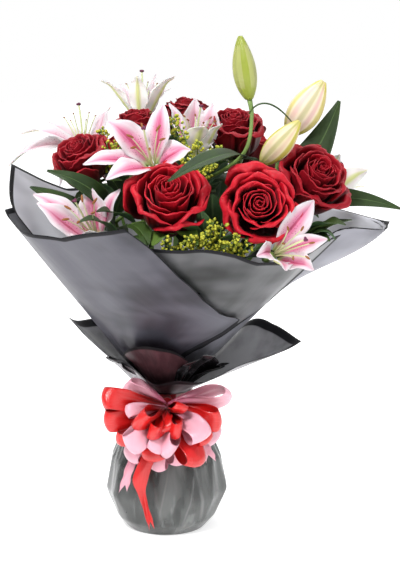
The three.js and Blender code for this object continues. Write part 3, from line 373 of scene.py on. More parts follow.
# Every petal is a cup wall: its profile is a cubic Bezier of radius and height from the hip over
# the belly and the shoulder to the rim, swept over its width. The lip is how far the rim rolls out;
# it is longest at the pointed middle, and towards the side edges the rim dips and rolls under
def rosePetals(place, seed):
    axis, base, height, radius, turn = roseFrame(place)
    pick = np.random.default_rng(seed)
    rings = [np.stack([np.linspace(*pair, count) for pair in pairs], -1)
             for count, *pairs in roseLook["rings"]]
    rings = np.concatenate(rings)
    count = len(rings)
    rimR, rimH, lip, halfWidth = (rings[:, k, None, None] for k in range(4))
    rimR = rimR * pick.normal(1, .045, rimR.shape)
    rimH = rimH + pick.normal(0, .028, rimH.shape)
    phase = pick.uniform(0, fullTurn, (5, count, 1, 1))
    across, v = bladeGrid(*roseLook["grid"])
    side = np.abs(across)
    rolled = np.clip(lip / .34, 0, 1)
    tip = np.exp(-((across - .25 * np.sin(phase[3])) / .16) ** 2)
    t = v * (1 - (.03 + .1 * rolled) * side ** 2 - (.02 + .16 * rolled) * side ** 6)
    lip = lip * (1 + .45 * tip - .25 * side) * (1 + .25 * np.sin(phase[0] + 2 * across))
    rimR = rimR * (1 - .05 * rolled * side ** 2 + .035 * np.sin(phase[1] + 4.2 * across))
    rimR = rimR * (1 + mix(.1, .03, rolled) * across)
    shoulder = rimR - 1.25 * lip
    stops = [
        (.03 + .2 * rimR, .3 - .28 * rimR),
        (.06 + 1.1 * rimR - .62 * lip, .38 - .32 * rimR),
        (shoulder, rimH + .85 * lip),
        (rimR, rimH),
    ]
    weights = [(1 - t) ** 3, 3 * (1 - t) ** 2 * t, 3 * (1 - t) * t ** 2, t ** 3]
    reach = sum(w * r for w, (r, _) in zip(weights, stops))
    rise = sum(w * h for w, (_, h) in zip(weights, stops))
    under = rolled * smooth(.4, 1, side) * smooth(.6, 1, v)
    reach = reach + .07 * under
    rise = rise - .13 * under
    wave = (.02 + .034 * rolled) * v ** 3
    reach = reach + .6 * wave * np.sin(8 * across + phase[2])
    rise = rise + wave * np.sin(5 * across + phase[3]) + .35 * wave * np.sin(17 * across + phase[4])
    middle = turn + np.arange(count)[:, None, None] * goldenAngle
    narrow = .35 + .65 * np.sin(np.pi / 2 * np.clip(v / .62, 0, 1))
    out = roundAxis(axis, middle + halfWidth * across * narrow)
    surface = base + out * (reach * radius)[..., None] + axis * (rise * height)[..., None]
    return surface, pick.uniform(-.1, .1, (count, 1, 1)) + place[-1]

# The heart of the bud that the inner petals wrap: a tube, widest below its middle
def roseCore(place):
    axis, base, height, radius, _ = roseFrame(place)
    v = np.linspace(0, 1, 12)
    line = base + axis * (v * .86 * height)[:, None]
    return line, radius * (.05 + .27 * hump(.05 + .9 * v) * (1 - .6 * v))

# Velvet: dark at the petal's root, a painted shade deep in the bloom, and brighter towards its rim,
# with a painted highlight on the rim itself and fine veins along it; tone is how bright the rose is
def rosePaint(u, v, tone, place, uv):
    vein = uv.streaks(26, 2.2, 3, .6)
    cloud = place.noise(70)
    # painted shade: the dark colour at the root of each petal
    root = tone.between(0, 1).blend((.03, .0005, .002), (.07, .0008, .003))
    face = tone.between(0, 1).blend((.24, .0018, .009), (.6, .004, .018))
    body = v.between(.3, .92).blend(root, face)
    shade = ((vein * .5 + cloud * .5).between(.3, .75) * .45).blend(body, (.09, .0006, .004))
    # painted highlight along the rolled rim
    lit = (v.between(.95, 1) * .3).blend(shade, (.7, .025, .05))
    return {
        "Base Color": lit,
        "Roughness": cloud * .2 + .42,
        "Bump": (vein + cloud * .6, .35, .0009),
    }

rosePetal = makeMaterial("rosePetal", {
    "Sheen Weight": .12, "Sheen Roughness": .4, "Sheen Tint": (1, .25, .3),
    "Specular IOR Level": .3}, rosePaint)

for seed, place in enumerate(roseLook["places"]):
    petals, tone = rosePetals(place, roseLook["seed"] + seed)
    makePiece("roseBloom_" + place[0], Patchwork().add(petals, tone=tone), [rosePetal],
              "rose_petal", ["rose_" + place[0]], wall=roseLook["wall"])
    line, radius = roseCore(place)
    makePiece("roseCore_" + place[0], Patchwork().tube(line, radius, 16, .3), [rosePetal], "rose_petal")
print("roses opened")


# Lilies: four to six tepals a bloom, each on an arc from the throat to its tip

lilyLook = {
    "length": 74,             # of a tepal, straight from the throat to the tip
    "widths": (34, 25),       # the broad inner ones and the narrower outer ones
    "baseRadius": 5,
    "opening": 64,            # degrees from the axis, for the tepals with no tip of their own
    "trough": .14,            # of the width, by which the side edges stand up
    "ruffle": 1.5,
    "wall": .55,
    "grid": (17, 30),         # points across and along a tepal
    "stamen": (44, 20, 11),   # length, degrees from the axis, length of the anther
    "pistil": 60,
    "anther": .75,            # its size, and that of the smaller ones
    "anthers": {"left": .22, "top": .22, "top_right": .4, "right": .4, "lower_right": .55},
    "towardsFront": {"left": .8},    # how far the inner faces turn to the front
    # name, throat, facing, turn, tips, how many more tepals, pinkness, way of the stalk, how slim
    "blooms": [
        ("left", (-90, 25, 414), (-.1, .35, .93), 60,
         [(-127, 50, 452), (-176, 28, 406), (-119, 0, 386), (-66, 60, 466)], 2, .35,
         [(-78, -22, 354), (-92, 4, 374)], .9),
        ("top", (-27, 64, 445), (0, .2, .98), 0,
         [(-16, 80, 499), (-70, 58, 498), (6, 62, 500), (-31, 50, 501), (-50, 112, 488), (2, 104, 484)],
         0, .2, None, .8),
        ("middle", (-11, -60, 413), (-.15, -.6, .78), 0,
         [(-56, -66, 464), (-2, -44, 480), (28, -60, 436), (-83, -90, 424), (-58, -112, 412)],
         0, .95, None, 1),
        ("lower_left", (-69, -95, 342), (-.35, -.5, .79), 0,
         [(-126, -112, 386), (-136, -78, 390), (-78, -92, 396), (-48, -100, 398), (-90, -140, 357)],
         0, .8, None, .95),
        ("lower_right", (114, -121, 331), (.5, -.75, .42), 0,
         [(158, -102, 386), (167, -130, 350), (151, -152, 326), (99, -164, 340), (126, -157, 327)],
         0, .9, None, .78),
        ("top_right", (32, 2, 414), (.12, -.1, .98), 0,
         [(34, 22, 477), (58, -20, 457), (42, -30, 456), (8, 22, 474), (50, 22, 472)], 0, .6, None, .85),
        ("right", (168, 42, 362), (.5, .6, .62), 0,
         [(223, 40, 399), (194, 38, 414), (224, 84, 376), (156, 98, 404)], 0, .4, None, .85),
    ],
}

# The tips in the order of their bearing round the throat, with evenly set roots
def tepalRoots(throat, axis, tips):
    zero = roundAxis(axis, 0.0)
    quarter = np.cross(axis, zero)
    bearing = np.array([np.arctan2((tip - throat) @ quarter, (tip - throat) @ zero) for tip in tips])
    order = np.argsort(bearing)
    step = fullTurn / len(tips)
    turn = np.mean(bearing[order] - step * np.arange(len(tips)))
    return [(tips[k], k, roundAxis(axis, turn + step * n)) for n, k in enumerate(order)]

# A tepal runs up the throat and bends over to its tip; it is a trough with a sunk midrib, waved
# side edges and a tip that turns back
def tepalSurface(throat, axis, tip, side, width, phase, front):
    across, v = bladeGrid(*lilyLook["grid"])
    belly = hump(v)
    outward = tip - throat
    length = np.linalg.norm(outward)
    outward = unit(outward - axis * (outward @ axis))
    root = throat + side * lilyLook["baseRadius"]
    bend = root + axis * .38 * length + (side + outward) * .12 * length
    point, tangent = arch(root, bend, tip, v)
    lean = np.minimum(1, 2 * v)[..., None]
    sideways = unit(np.cross(axis, side * (1 - lean) + outward * lean))
    forward = front * (at(0, -1, 0) + tangent[..., 1:2] * tangent) * belly[..., None]
    face = unit(np.cross(tangent, sideways) + forward)
    sideways = np.cross(face, tangent)
    swell = .06 * (1 - v) + .97 * np.maximum(hump(v ** 1.15), 0) ** .95
    half = .8 + width / 2 * swell
    lift = lilyLook["trough"] * width * np.abs(across) ** 1.3 * belly
    lift = lift - 1.3 * np.exp(-(across / .12) ** 2) * belly ** .5
    lift = lift + lilyLook["ruffle"] * across ** 2 * belly * np.sin(17 * v + phase + 1.4 * across)
    lift = lift - 5 * smooth(.72, 1, v) ** 2
    return point + sideways * (half * across)[..., None] + face * lift[..., None]

# White towards the edges, rose pink along the middle, with a crimson midrib and raised spots; tone
# is how pink the bloom is
def lilyPaint(u, v, tone, place, uv):
    off = u.fromMiddle()
    streak = uv.streaks(38, 2, 3)
    cloud = uv.streaks(3, 2)
    uneven = off + (v - .4).size() * .3 + (cloud - .5) * .5 + (streak - .5) * .25
    blush = uneven.fade(.12, .98) * (.5 + streak * .8) * tone * v.between(0, .16)
    blush = (blush * (1 - v.between(.7, 1) * .6)).least(1)
    white = tone.between(.35, .75).blend(streak.blend((.52, .48, .5), (.7, .66, .68)),
                                         streak.blend((.56, .5, .53), (.76, .7, .73)))
    petal = blush.blend(white, (.6, .06, .22))
    rib = off.fade(.03, .16) * v.between(.02, .1) * v.fade(.5, .95) * tone
    ribbed = (rib * .8).blend(petal, (.4, .008, .07))
    green = (v.fade(.02, .2) * .9).blend(ribbed, (.42, .55, .12))
    cell = addNode(place.tree, "TexVoronoi", {"feature": "F1"}, 0,
                   Vector=uv.scaled(1, 2.2, 1), Scale=17)
    spot = cell.fade(.16, .28) * v.between(.08, .2) * v.fade(.5, .72) * off.fade(.5, .8)
    spotted = (spot * tone.between(0, .5)).blend(green, (.2, .002, .025))
    return {
        "Base Color": spotted,
        # painted glow: the petal's own colour as emission
        "Emission Color": spotted,
        "Roughness": streak * .15 + .38,
        "Bump": (streak * .5 + spot * 1.2, .5, .0008),
    }

# The back is white, with a broad yellow-green rib and a blush at the sides; its white is lighter than
# the front's, painted light on backs that lie in shade
def lilyBackPaint(u, v, tone, place, uv):
    off = u.fromMiddle()
    streak = uv.streaks(40, 2, 3)
    rib = off.fade(.05, .42) * (1 - v.between(.75, 1) * .5)
    # painted light: a lighter white than the front's, for backs in shade
    white = streak.blend((.8, .78, .74), (.92, .9, .86))
    petal = (off.fade(.3, .9) * tone * .5 * streak).blend(white, (.7, .2, .36))
    skin = (rib * .75 + v.fade(0, .3) * .5).least(1).blend(petal, (.56, .6, .1))
    return {
        "Base Color": skin,
        # painted glow: the back's own colour as emission
        "Emission Color": skin,
        "Roughness": streak * .15 + .38,
        "Bump": (streak, .4, .0008),
    }

# Thin flesh that lets light through: how far the green of it goes, and how strong it glows, a painted
# glow in the petal's own colour that stands in for light shining through it
def tepalFlesh(green, paintedGlow):
    return {"Sheen Weight": .12, "Subsurface Weight": .2, "Subsurface Radius": (.006, green, .003),
            "Emission Strength": paintedGlow}

lilyPetal = makeMaterial("lilyPetal", tepalFlesh(.003, .06), lilyPaint)
lilyBack = makeMaterial("lilyBack", tepalFlesh(.004, .14), lilyBackPaint)

# Tone 0 is the pale green of filaments and style, 1 the brown of anthers, 2 the plum of the stigma
def stamenPaint(u, v, tone, place, uv):
    grain = place.noise(2600)
    stalk = grain.blend((.5, .6, .26), (.68, .7, .42))
    anther = grain.blend((.16, .05, .014), (.36, .14, .03))
    powdery = tone.between(.3, .7)
    return {
        "Base Color": tone.between(1.3, 1.7).blend(powdery.blend(stalk, anther), (.13, .02, .06)),
        "Roughness": powdery * .35 + .4,
        "Bump": (grain, .6, .0004),
    }

stamenFlesh = makeMaterial("stamenFlesh", {}, stamenPaint)

# A pistil with a stigma of three lobes, and six filaments that lean out to crosswise anthers
def stamens(throat, axis, size):
    reach, opening, anther = lilyLook["stamen"]
    foot = throat + axis * 2
    head = throat + axis * lilyLook["pistil"]
    patch = Patchwork()
    lean = roundAxis(axis, 1.1)
    t = np.linspace(0, 1, 14)
    style, _ = arch(foot, (foot + head) / 2 + lean * 2, head - axis * 2, t)
    patch.tube(style, mix(1.3, .95, t), 8)
    for k in range(3):
        lobe = head - axis * 1.6 + roundAxis(axis, fullTurn * k / 3) * 1.3
        patch.tube([lobe - axis * 1.2, lobe, lobe + axis * 1.2], (1, 1.7, .9), 8, 2.0)
    for k in range(6):
        out = roundAxis(axis, np.radians(60 * k + 25))
        start = foot + axis * .7 + out * 2.2
        end = start + reach * (axis * np.cos(np.radians(opening)) + out * np.sin(np.radians(opening)))
        filament, _ = arch(start, (start + end) / 2 - out * 3 + axis * 2, end, t)
        patch.tube(filament, mix(.85, .5, t), 6)
        cross = unit(out * .85 + axis * .45)
        body = end + cross * ((t[:, None] - .45) * anther * size)
        patch.tube(body, 1.6 * size ** .5 * hump(.08 + .84 * t) ** .6, 8, 1.0, lobes=.12)
    return patch

opening = np.radians(lilyLook["opening"])
for seed, (name, throat, facing, turn, tips, rest, pinkness, _, slim) in enumerate(lilyLook["blooms"]):
    throat, axis = at(*throat), unit(at(*facing))
    tips = [at(*tip) for tip in tips]
    for k in range(rest):
        out = roundAxis(axis, np.radians(turn + 150 + 60 * k))
        tips.append(throat + lilyLook["length"] * (out * np.sin(opening) + axis * np.cos(opening)))
    bloom = Patchwork()
    for tip, order, side in tepalRoots(throat, axis, tips):
        width = slim * lilyLook["widths"][order % 2]
        surface = tepalSurface(throat, axis, tip, side, width, seed + 2.1 * order,
                               lilyLook["towardsFront"].get(name, 0))
        bloom.add(surface[:, ::-1], tone=pinkness)
    makePiece("lilyBloom_" + name, bloom, [lilyPetal, lilyBack], "lily_petal",
              ["lily_" + name], wall=lilyLook["wall"])
    size = lilyLook["anthers"].get(name, lilyLook["anther"])
    makePiece("lilyStamens_" + name, stamens(throat, axis, size), [stamenFlesh], "lily_stamen",
              ["lily_" + name + "_stamens"])
print("lilies opened")


# Buds: a pod that swells and narrows, with three seams

budLook = {
    "pods": [                 # name, base, tip, width, way of the stalk, how green
        ("green", (90, -45, 483), (80, -45, 549), 25, [(85, -50, 428)], 1.0),
        ("pale_large", (135, 20, 439), (172, 20, 496), 37, None, .1),
        ("pale_small", (104, -45, 416), (142, -55, 461), 27, None, .36),
    ],
}

# Round the pod the radius has three lobes, and a shallow groove runs along each seam
def budSurface(base, tip, width):
    u, v = uvGrid(37, 34)
    v = np.concatenate([v[:1], v, v[-1:]])[:, :-1]
    u = np.concatenate([u[:1], u, u[-1:]])[:, :-1]
    angle = fullTurn * u
    axis = unit(tip - base)
    swell = .06 + .94 * hump((.04 + .93 * v) ** .85) ** .8
    seam = .05 * np.exp(-((np.mod(angle + np.pi / 3, fullTurn / 3) - np.pi / 3) / .1) ** 2)
    radius = width / 2 * swell * (1 + .07 * np.cos(3 * angle + np.pi) - seam)
    radius[0] = radius[-1] = 0
    return base + (tip - base) * v[..., None] + roundAxis(axis, angle) * radius[..., None], u, v

# Cream with a yellow midrib on every lobe, pink beside it and a green line along the seams; tone
# turns it green
def budPaint(u, v, tone, place, uv):
    streak = uv.streaks(60, 2, 3)
    lobe = (u * (3 * fullTurn)).sine() * .5 + .5
    cream = streak.blend((.84, .68, .5), (.9, .8, .66))
    pink = lobe.between(.1, .4) * lobe.fade(.6, .8) * (1 - tone) * v.between(.05, .4)
    flushed = (pink * (.25 + streak * .6)).least(1).blend(cream, (.7, .3, .38))
    midrib = lobe.between(.78, .97) * (.35 + streak * .6) + v.between(.82, .98) * .5
    seam = lobe.fade(0, .12)
    green = (tone * .85 + v.fade(0, .25) * .6 + midrib).least(1)
    skin = green.blend(flushed, tone.between(.1, .9).blend((.58, .5, .05), (.26, .31, .03)))
    return {
        "Base Color": (seam * .5).blend(skin, (.3, .33, .06)),
        "Roughness": streak * .15 + .36,
        "Bump": (streak + seam * -2, .4, .0008),
    }

budSkin = makeMaterial("budSkin", {"Sheen Weight": .1, "Subsurface Weight": .1,
                                   "Subsurface Radius": (.004, .003, .001)}, budPaint)
for name, base, tip, width, way, greenness in budLook["pods"]:
    surface, u, v = budSurface(at(*base), at(*tip), width)
    makePiece("lilyBud_" + name, Patchwork().add(surface, u, v, greenness, closed=True), [budSkin],
              "green_bud" if name == "green" else "pale_bud", ["bud_" + name])
print("buds set")


# Stems: each stands in one place of the tie and leans out to its flower

tieLook = {
    "pitch": 7.4,             # spacing of the stems in the tie
    "neck": 162,              # where they start to spread
    "foot": 14,               # height of the cut ends
    "low": 144,
    "clear": .4,
    "middle": (20, 0, 0),     # of the bouquet, seen from above
    "arrive": 30,             # last stretch of a stem, in line with its flower
    "rounds": 60,             # of pushing the stems apart
    "sides": 10,              # of a stem's section
    "stemSteps": 70,          # points along a stem
    "stalkSteps": 24,         # and along a stalk or a branch
    "approach": 16,           # last stretch of a stalk, in line with its bloom or bud
    "roseRadius": 3,
    "goldenrodRadius": 1.9,
    "inside": .93,            # share of its radius in the source that a stem has here
}

# Sprays: name, top, radius, blooms that it carries, buds, leaves (root, bend, tip, width, facing)
sprayLook = {
    "lily_stem_left": ((-54, -34, 352), 3.3, ("left", "middle", "lower_left"), (), [
        ((-53, -36, 346), (-56, -112, 402), (-120, -90, 414), 22, (0, -.8, .6)),
        ((-54, -30, 340), (-112, -14, 372), (-150, 34, 378), 20, (0, -.8, .6)),
        ((-50, -30, 330), (-56, -60, 360), (-36, -112, 350), 22, None)]),
    "lily_stem_top": ((24, -8, 384), 3.3, ("top", "top_right"), ("green",), [
        ((84, -50, 424), (62, -116, 444), (6, -152, 412), 22, (0, -.5, .85)),
        ((89, -46, 468), (108, -46, 496), (142, -42, 450), 6, None),
        ((21, -7, 356), (30, 60, 396), (66, 128, 416), 22, None),
        ((20, -10, 350), (40, -50, 392), (53, -100, 393), 22, None)]),
    "lily_stem_right": ((114, 2, 362), 3.3, ("lower_right", "right"), ("pale_large", "pale_small"), [
        ((116, 6, 368), (162, 20, 396), (190, 26, 474), 40, (-.3, -1, .2)),
        ((110, 2, 354), (184, 12, 384), (256, -6, 360), 22, (0, -1, .3)),
        ((105, 2, 346), (122, 80, 384), (176, 112, 366), 22, None)]),
    "foliage_front_left": ((-46, -112, 344), 2, (), (), [
        ((-46, -112, 342), (-60, -120, 376), (-86, -128, 366), 26, None),
        ((-45, -110, 338), (-34, -140, 366), (-14, -152, 336), 24, None),
        ((-43, -102, 328), (-80, -112, 336), (-112, -104, 360), 22, None)]),
    "foliage_front_right": ((144, -76, 336), 2, (), (), [
        ((144, -76, 334), (166, -86, 360), (180, -84, 340), 25, None),
        ((137.5, -72.5, 328), (168, -56, 352), (200, -40, 354), 25, None),
        ((126, -66, 314), (116, -84, 333), (102, -102, 331), 17, None)]),
    "foliage_back": ((8, 126, 366), 2, (), (), [
        ((8, 126, 364), (8, 150, 402), (20, 156, 440), 30, (0, -1, .3)),
        ((7.6, 120, 356), (-40, 156, 366), (-92, 142, 362), 24, None),
        ((6, 120, 350), (60, 148, 358), (104, 130, 378), 26, None)]),
}

# Goldenrod: name, top, tips of its branches
goldenrodLook = {
    "seed": 40,
    "lowSeed": 77,
    "stem": (60, 1.75, 8),    # points along it, its radius, sides of its section
    "florets": 54,            # on a branch
    "fewer": 44,              # on a low sprig
    "spread": 5.2,            # how far they stand off the branch
    "sprays": {
        "goldenrod_left": ((-58, 0, 392), [(-56, -26, 434), (-40, -10, 440), (-70, 4, 446)]),
        "goldenrod_middle": ((34, -34, 396), [(8, -24, 462), (36, -50, 436), (62, -52, 430)]),
        "goldenrod_front": ((46, -106, 316), [(26, -142, 352), (52, -128, 366), (66, -140, 344)]),
        "goldenrod_back": ((56, 106, 374), [(60, 118, 434), (36, 126, 418), (82, 134, 404)]),
    },
    "low": [                  # small sprigs between the roses: spray, foot, tip
        ("front", (8, -112, 328), (3, -148, 352)),
        ("front", (24, -112, 330), (22, -148, 350)),
        ("front", (42, -112, 328), (44, -144, 360)),
        ("front", (58, -108, 334), (60, -134, 366)),
        ("front", (66, -110, 332), (76, -142, 354)),
        ("front", (80, -104, 326), (88, -136, 346)),
        ("middle", (32, -46, 402), (22, -88, 426)),
        ("middle", (44, -44, 402), (52, -80, 420)),
        ("middle", (20, -20, 426), (6, -40, 460)),
        ("left", (-56, -18, 402), (-60, -56, 438)),
    ],
}

# Places in the tie: one in the middle, six round it and twelve round those
def tiePlaces():
    places = [(0, 0.0, 0.0)]
    for ring in (1, 2):
        for k in range(6 * ring):
            share = (k % ring) / ring
            a, b = np.radians(60 * (k // ring)), np.radians(60 * (k // ring + 1))
            places.append((ring, ring * tieLook["pitch"] * mix(np.cos(a), np.cos(b), share),
                           ring * tieLook["pitch"] * mix(np.sin(a), np.sin(b), share)))
    return places

# Angle of a place seen from above
def bearing(x, y):
    return np.arctan2(y, x)

# The stems furthest out take the outer places, each on its own side: round each ring, stems and
# places are in the order of their bearings, shifted to where the bearings differ least
def placeStems(stems):
    mid = at(*tieLook["middle"])
    ranked = sorted(stems, key=lambda s: np.hypot(s["top"][0] - mid[0], s["top"][1]))
    places = tiePlaces()
    for ring, low, high in ((0, 0, 1), (1, 1, 7), (2, 7, 19)):
        group = sorted(ranked[low:high], key=lambda s: bearing(*(s["top"] - mid)[:2]))
        free = sorted([p for p in places if p[0] == ring], key=lambda p: bearing(p[1], p[2]))
        def misfit(shift):
            return sum(1 - np.cos(bearing(*free[(k + shift) % len(free)][1:])
                                  - bearing(*(s["top"] - mid)[:2])) for k, s in enumerate(group))
        best = min(range(len(free)), key=misfit)
        for k, s in enumerate(group):
            s["place"] = free[(k + best) % len(free)][1:]

# The nearest point of a line of segments to each of some points
def nearestOn(line, points):
    a, b = line[:-1], line[1:]
    run = b - a
    t = np.clip(((points[:, None] - a) * run).sum(-1) / (run * run).sum(-1), 0, 1)
    spot = a + run * t[..., None]
    best = np.argmin(np.linalg.norm(points[:, None] - spot, axis=-1), axis=1)
    return spot[np.arange(len(points)), best]

# Straight up through the water and the tie, then out, pushing each other apart above it
def drawStems(stems):
    neck = tieLook["neck"] - 2
    for s in stems:
        x, y = s["place"]
        arrive = s["top"] - s["arrive"] * tieLook["arrive"]
        lean = at(mix(x, arrive[0], .45), mix(y, arrive[1], .45), mix(neck, arrive[2], .55))
        s["points"] = lineThrough([(x, y, neck), lean, arrive, s["top"]], 6)
    for _ in range(tieLook["rounds"]):
        for a in stems:
            for b in stems:
                if a is b:
                    continue
                inner = a["points"][1:-1]
                away = inner - nearestOn(b["points"], inner)
                gap = np.linalg.norm(away, axis=1)
                short = a["radius"] + b["radius"] + 2 * tieLook["clear"] - gap
                push = np.where(short > 0, short / 2 + .05, 0)
                a["points"][1:-1] = inner + unit(away) * push[:, None]
    for s in stems:
        x, y = s["place"]
        cutEnd = (1.5 * x, 1.5 * y, tieLook["foot"])
        s["points"] = np.vstack([cutEnd, (x, y, tieLook["low"]), s["points"]])

stems = []
for place in roseLook["places"]:
    axis, base, *_ = roseFrame(place)
    stems.append({"name": "rose_stem_" + place[0], "top": base - axis * tieLook["clear"],
                  "arrive": axis, "radius": tieLook["roseRadius"], "rose": place})
for name, (top, radius, *_) in sprayLook.items():
    stems.append({"name": name, "top": at(*top), "radius": radius})
for name, (top, _) in goldenrodLook["sprays"].items():
    stems.append({"name": name, "top": at(*top), "radius": tieLook["goldenrodRadius"]})
for s in stems:
    s.setdefault("arrive", unit(s["top"] - at(0, 0, tieLook["neck"])))
placeStems(stems)
drawStems(stems)
stemOf = {s["name"]: s for s in stems}

# A blade on an arc: widest before its middle, folded along the midrib and waved at its edges
def leafSurface(root, bend, tip, width, facing, phase, wave=.05, grid=(13, 30)):
    across, v = bladeGrid(*grid)
    point, tangent = arch(root, bend, tip, v)
    side = unit(np.cross(tangent, at(*(facing or (0, 0, 1)))))
    over = np.cross(side, tangent)
    half = .5 + width / 2 * hump((.02 + .96 * v) ** .75) ** .9
    lift = .12 * width * np.abs(across) ** 1.2 * hump(v)
    lift = lift + wave * width * across ** 2 * np.sin(9 * v + phase + across) * hump(v)
    lift = lift - .5 * np.exp(-(across / .09) ** 2)
    return point + side * (half * across)[..., None] + over * lift[..., None]

# Deep green with parallel veins, a paler midrib and a thin pale edge
def leafPaint(u, v, tone, place, uv):
    off = u.fromMiddle()
    veins = (u * 150).sine() * .5 + .5
    cloud = place.noise(45)
    # a low tone gives a near-black green, partly painted shade on leaves deep in the gaps
    green = (cloud * .7 + tone * .5 - .1).between(.2, .9).blend((.009, .022, .005), (.045, .085, .014))
    green = tone.between(1, 2).blend(green, (.12, .2, .035))
    veined = (veins * .16).blend(green, (.07, .15, .045))
    rib = (off.fade(.02, .08) * .6 + off.between(.93, 1) * .25).least(1)
    return {
        "Base Color": (rib * .8).blend(veined, (.13, .22, .07)),
        "Roughness": cloud * .15 + .4,
        "Bump": (veins * .6 + off.fade(0, .07) * -1.5 + cloud * .4, .4, .0005),
    }

# Paler and matt, with the same veins and a broad pale midrib
def leafBackPaint(u, v, tone, place, uv):
    off = u.fromMiddle()
    veins = (u * 150).sine() * .5 + .5
    green = (veins * .3).blend((.05, .12, .045), (.1, .2, .08))
    return {"Base Color": (off.fade(.03, .12) * .6).blend(green, (.2, .32, .14)),
            "Roughness": veins * .1 + .5, "Bump": (veins, .4, .0004)}

# Green with a fine grain along it; tone turns it paler
def stemPaint(u, v, tone, place, uv):
    grain = place.scaled(1, 1, .12).noise(900, 3)
    cloud = place.noise(30)
    green = cloud.blend((.06, .13, .02), (.16, .27, .06))
    return {"Base Color": (tone * .6).blend(green, (.3, .42, .12)),
            "Roughness": grain * .2 + .38, "Bump": (grain, .5, .0004)}

leafGreen = makeMaterial("leafGreen", {"Specular IOR Level": .3}, leafPaint)
leafBack = makeMaterial("leafBack", {}, leafBackPaint)
stemGreen = makeMaterial("stemGreen", {}, stemPaint)

# A rose's stem ends in its hip, whose radius swells under the bloom, with five narrow sepals
def roseStem(stem):
    axis, base, _, radius, turn = roseFrame(stem["rose"])
    line = lineThrough([*stem["points"][:-1], base - axis * 12], tieLook["stemSteps"])
    stalk = Patchwork().tube(line, stem["radius"] * tieLook["inside"], tieLook["sides"])
    by = np.array([15, 13, 11, 9, 7, 5, 3.4, 2, 1.1, .8])
    share = [.21, .245, .24, .21, .12, stem["radius"] / radius]
    swell = np.interp(by, [.8, 2, 4, 7, 11, 15], share)
    stalk.tube(base - axis * by[:, None], swell * radius, 16, .5)
    sepals = Patchwork()
    for k in range(5):
        out = roundAxis(axis, turn + fullTurn * k / 5)
        root = base - axis * 1.6 + out * .16 * radius
        tip = base - axis * 9 + out * (.26 * radius + 21)
        bend = base - axis * .6 + out * (.26 * radius + 12)
        sepals.add(leafSurface(root, bend, tip, 7.5, tuple(axis), k, .12, (7, 14)), tone=.9)
    return stalk, sepals

for stem in stems[:len(roseLook["places"])]:
    stalk, sepals = roseStem(stem)
    makePiece("roseStem_" + stem["rose"][0], stalk, [stemGreen], "stem", [stem["name"]])
    makePiece("roseSepals_" + stem["rose"][0], sepals, [leafGreen, leafBack], "leaf", wall=.5)

# A stalk leaves the top of its stem, bends on its way and arrives in line with its bloom or bud
def stalkTo(top, end, arrive, way):
    before = end - arrive * tieLook["approach"]
    start = top - at(0, 0, 3)
    bends = way or [(start + before) / 2 - at(0, 0, 4)]
    return lineThrough([start, *bends, before, end], tieLook["stalkSteps"])

# A spray's stem has its long leaves, and a stalk for each of its blooms and buds. ends holds where
# a stalk goes, how it arrives, the gap that it leaves, its bends, and its radii from foot to end
for name, (top, radius, carries, buds, leaves) in sprayLook.items():
    top = at(*top)
    line = lineThrough(stemOf[name]["points"], tieLook["stemSteps"])
    stalk = Patchwork().tube(line, radius * tieLook["inside"], tieLook["sides"])
    ends = [(throat, unit(at(*facing)), 2.2, way, (2.2, 2, 2.3, 4.6))
            for bloom, throat, facing, *_, way, _ in lilyLook["blooms"] if bloom in carries]
    ends += [(base, unit(at(*tip) - at(*base)), .2, way, (2.2, 2, 2, 2.8))
             for bud, base, tip, _, way, _ in budLook["pods"] if bud in buds]
    for end, axis, gap, way, radii in ends:
        line = stalkTo(top, at(*end) - axis * gap, axis, way)
        share = np.linspace(0, 1, len(line))
        stalk.tube(line, np.interp(share, [0, .3, .85, 1], radii), tieLook["sides"], .6)
    makePiece("sprayStem_" + name, stalk, [stemGreen], "stem", [name])
    blades = Patchwork()
    for k, (root, bend, tip, width, facing) in enumerate(leaves):
        blades.add(leafSurface(root, bend, tip, width, facing, 2.3 * k), tone=.3 + .2 * (k % 3))
    makePiece("sprayLeaves_" + name, blades, [leafGreen, leafBack], "leaf", wall=.6)
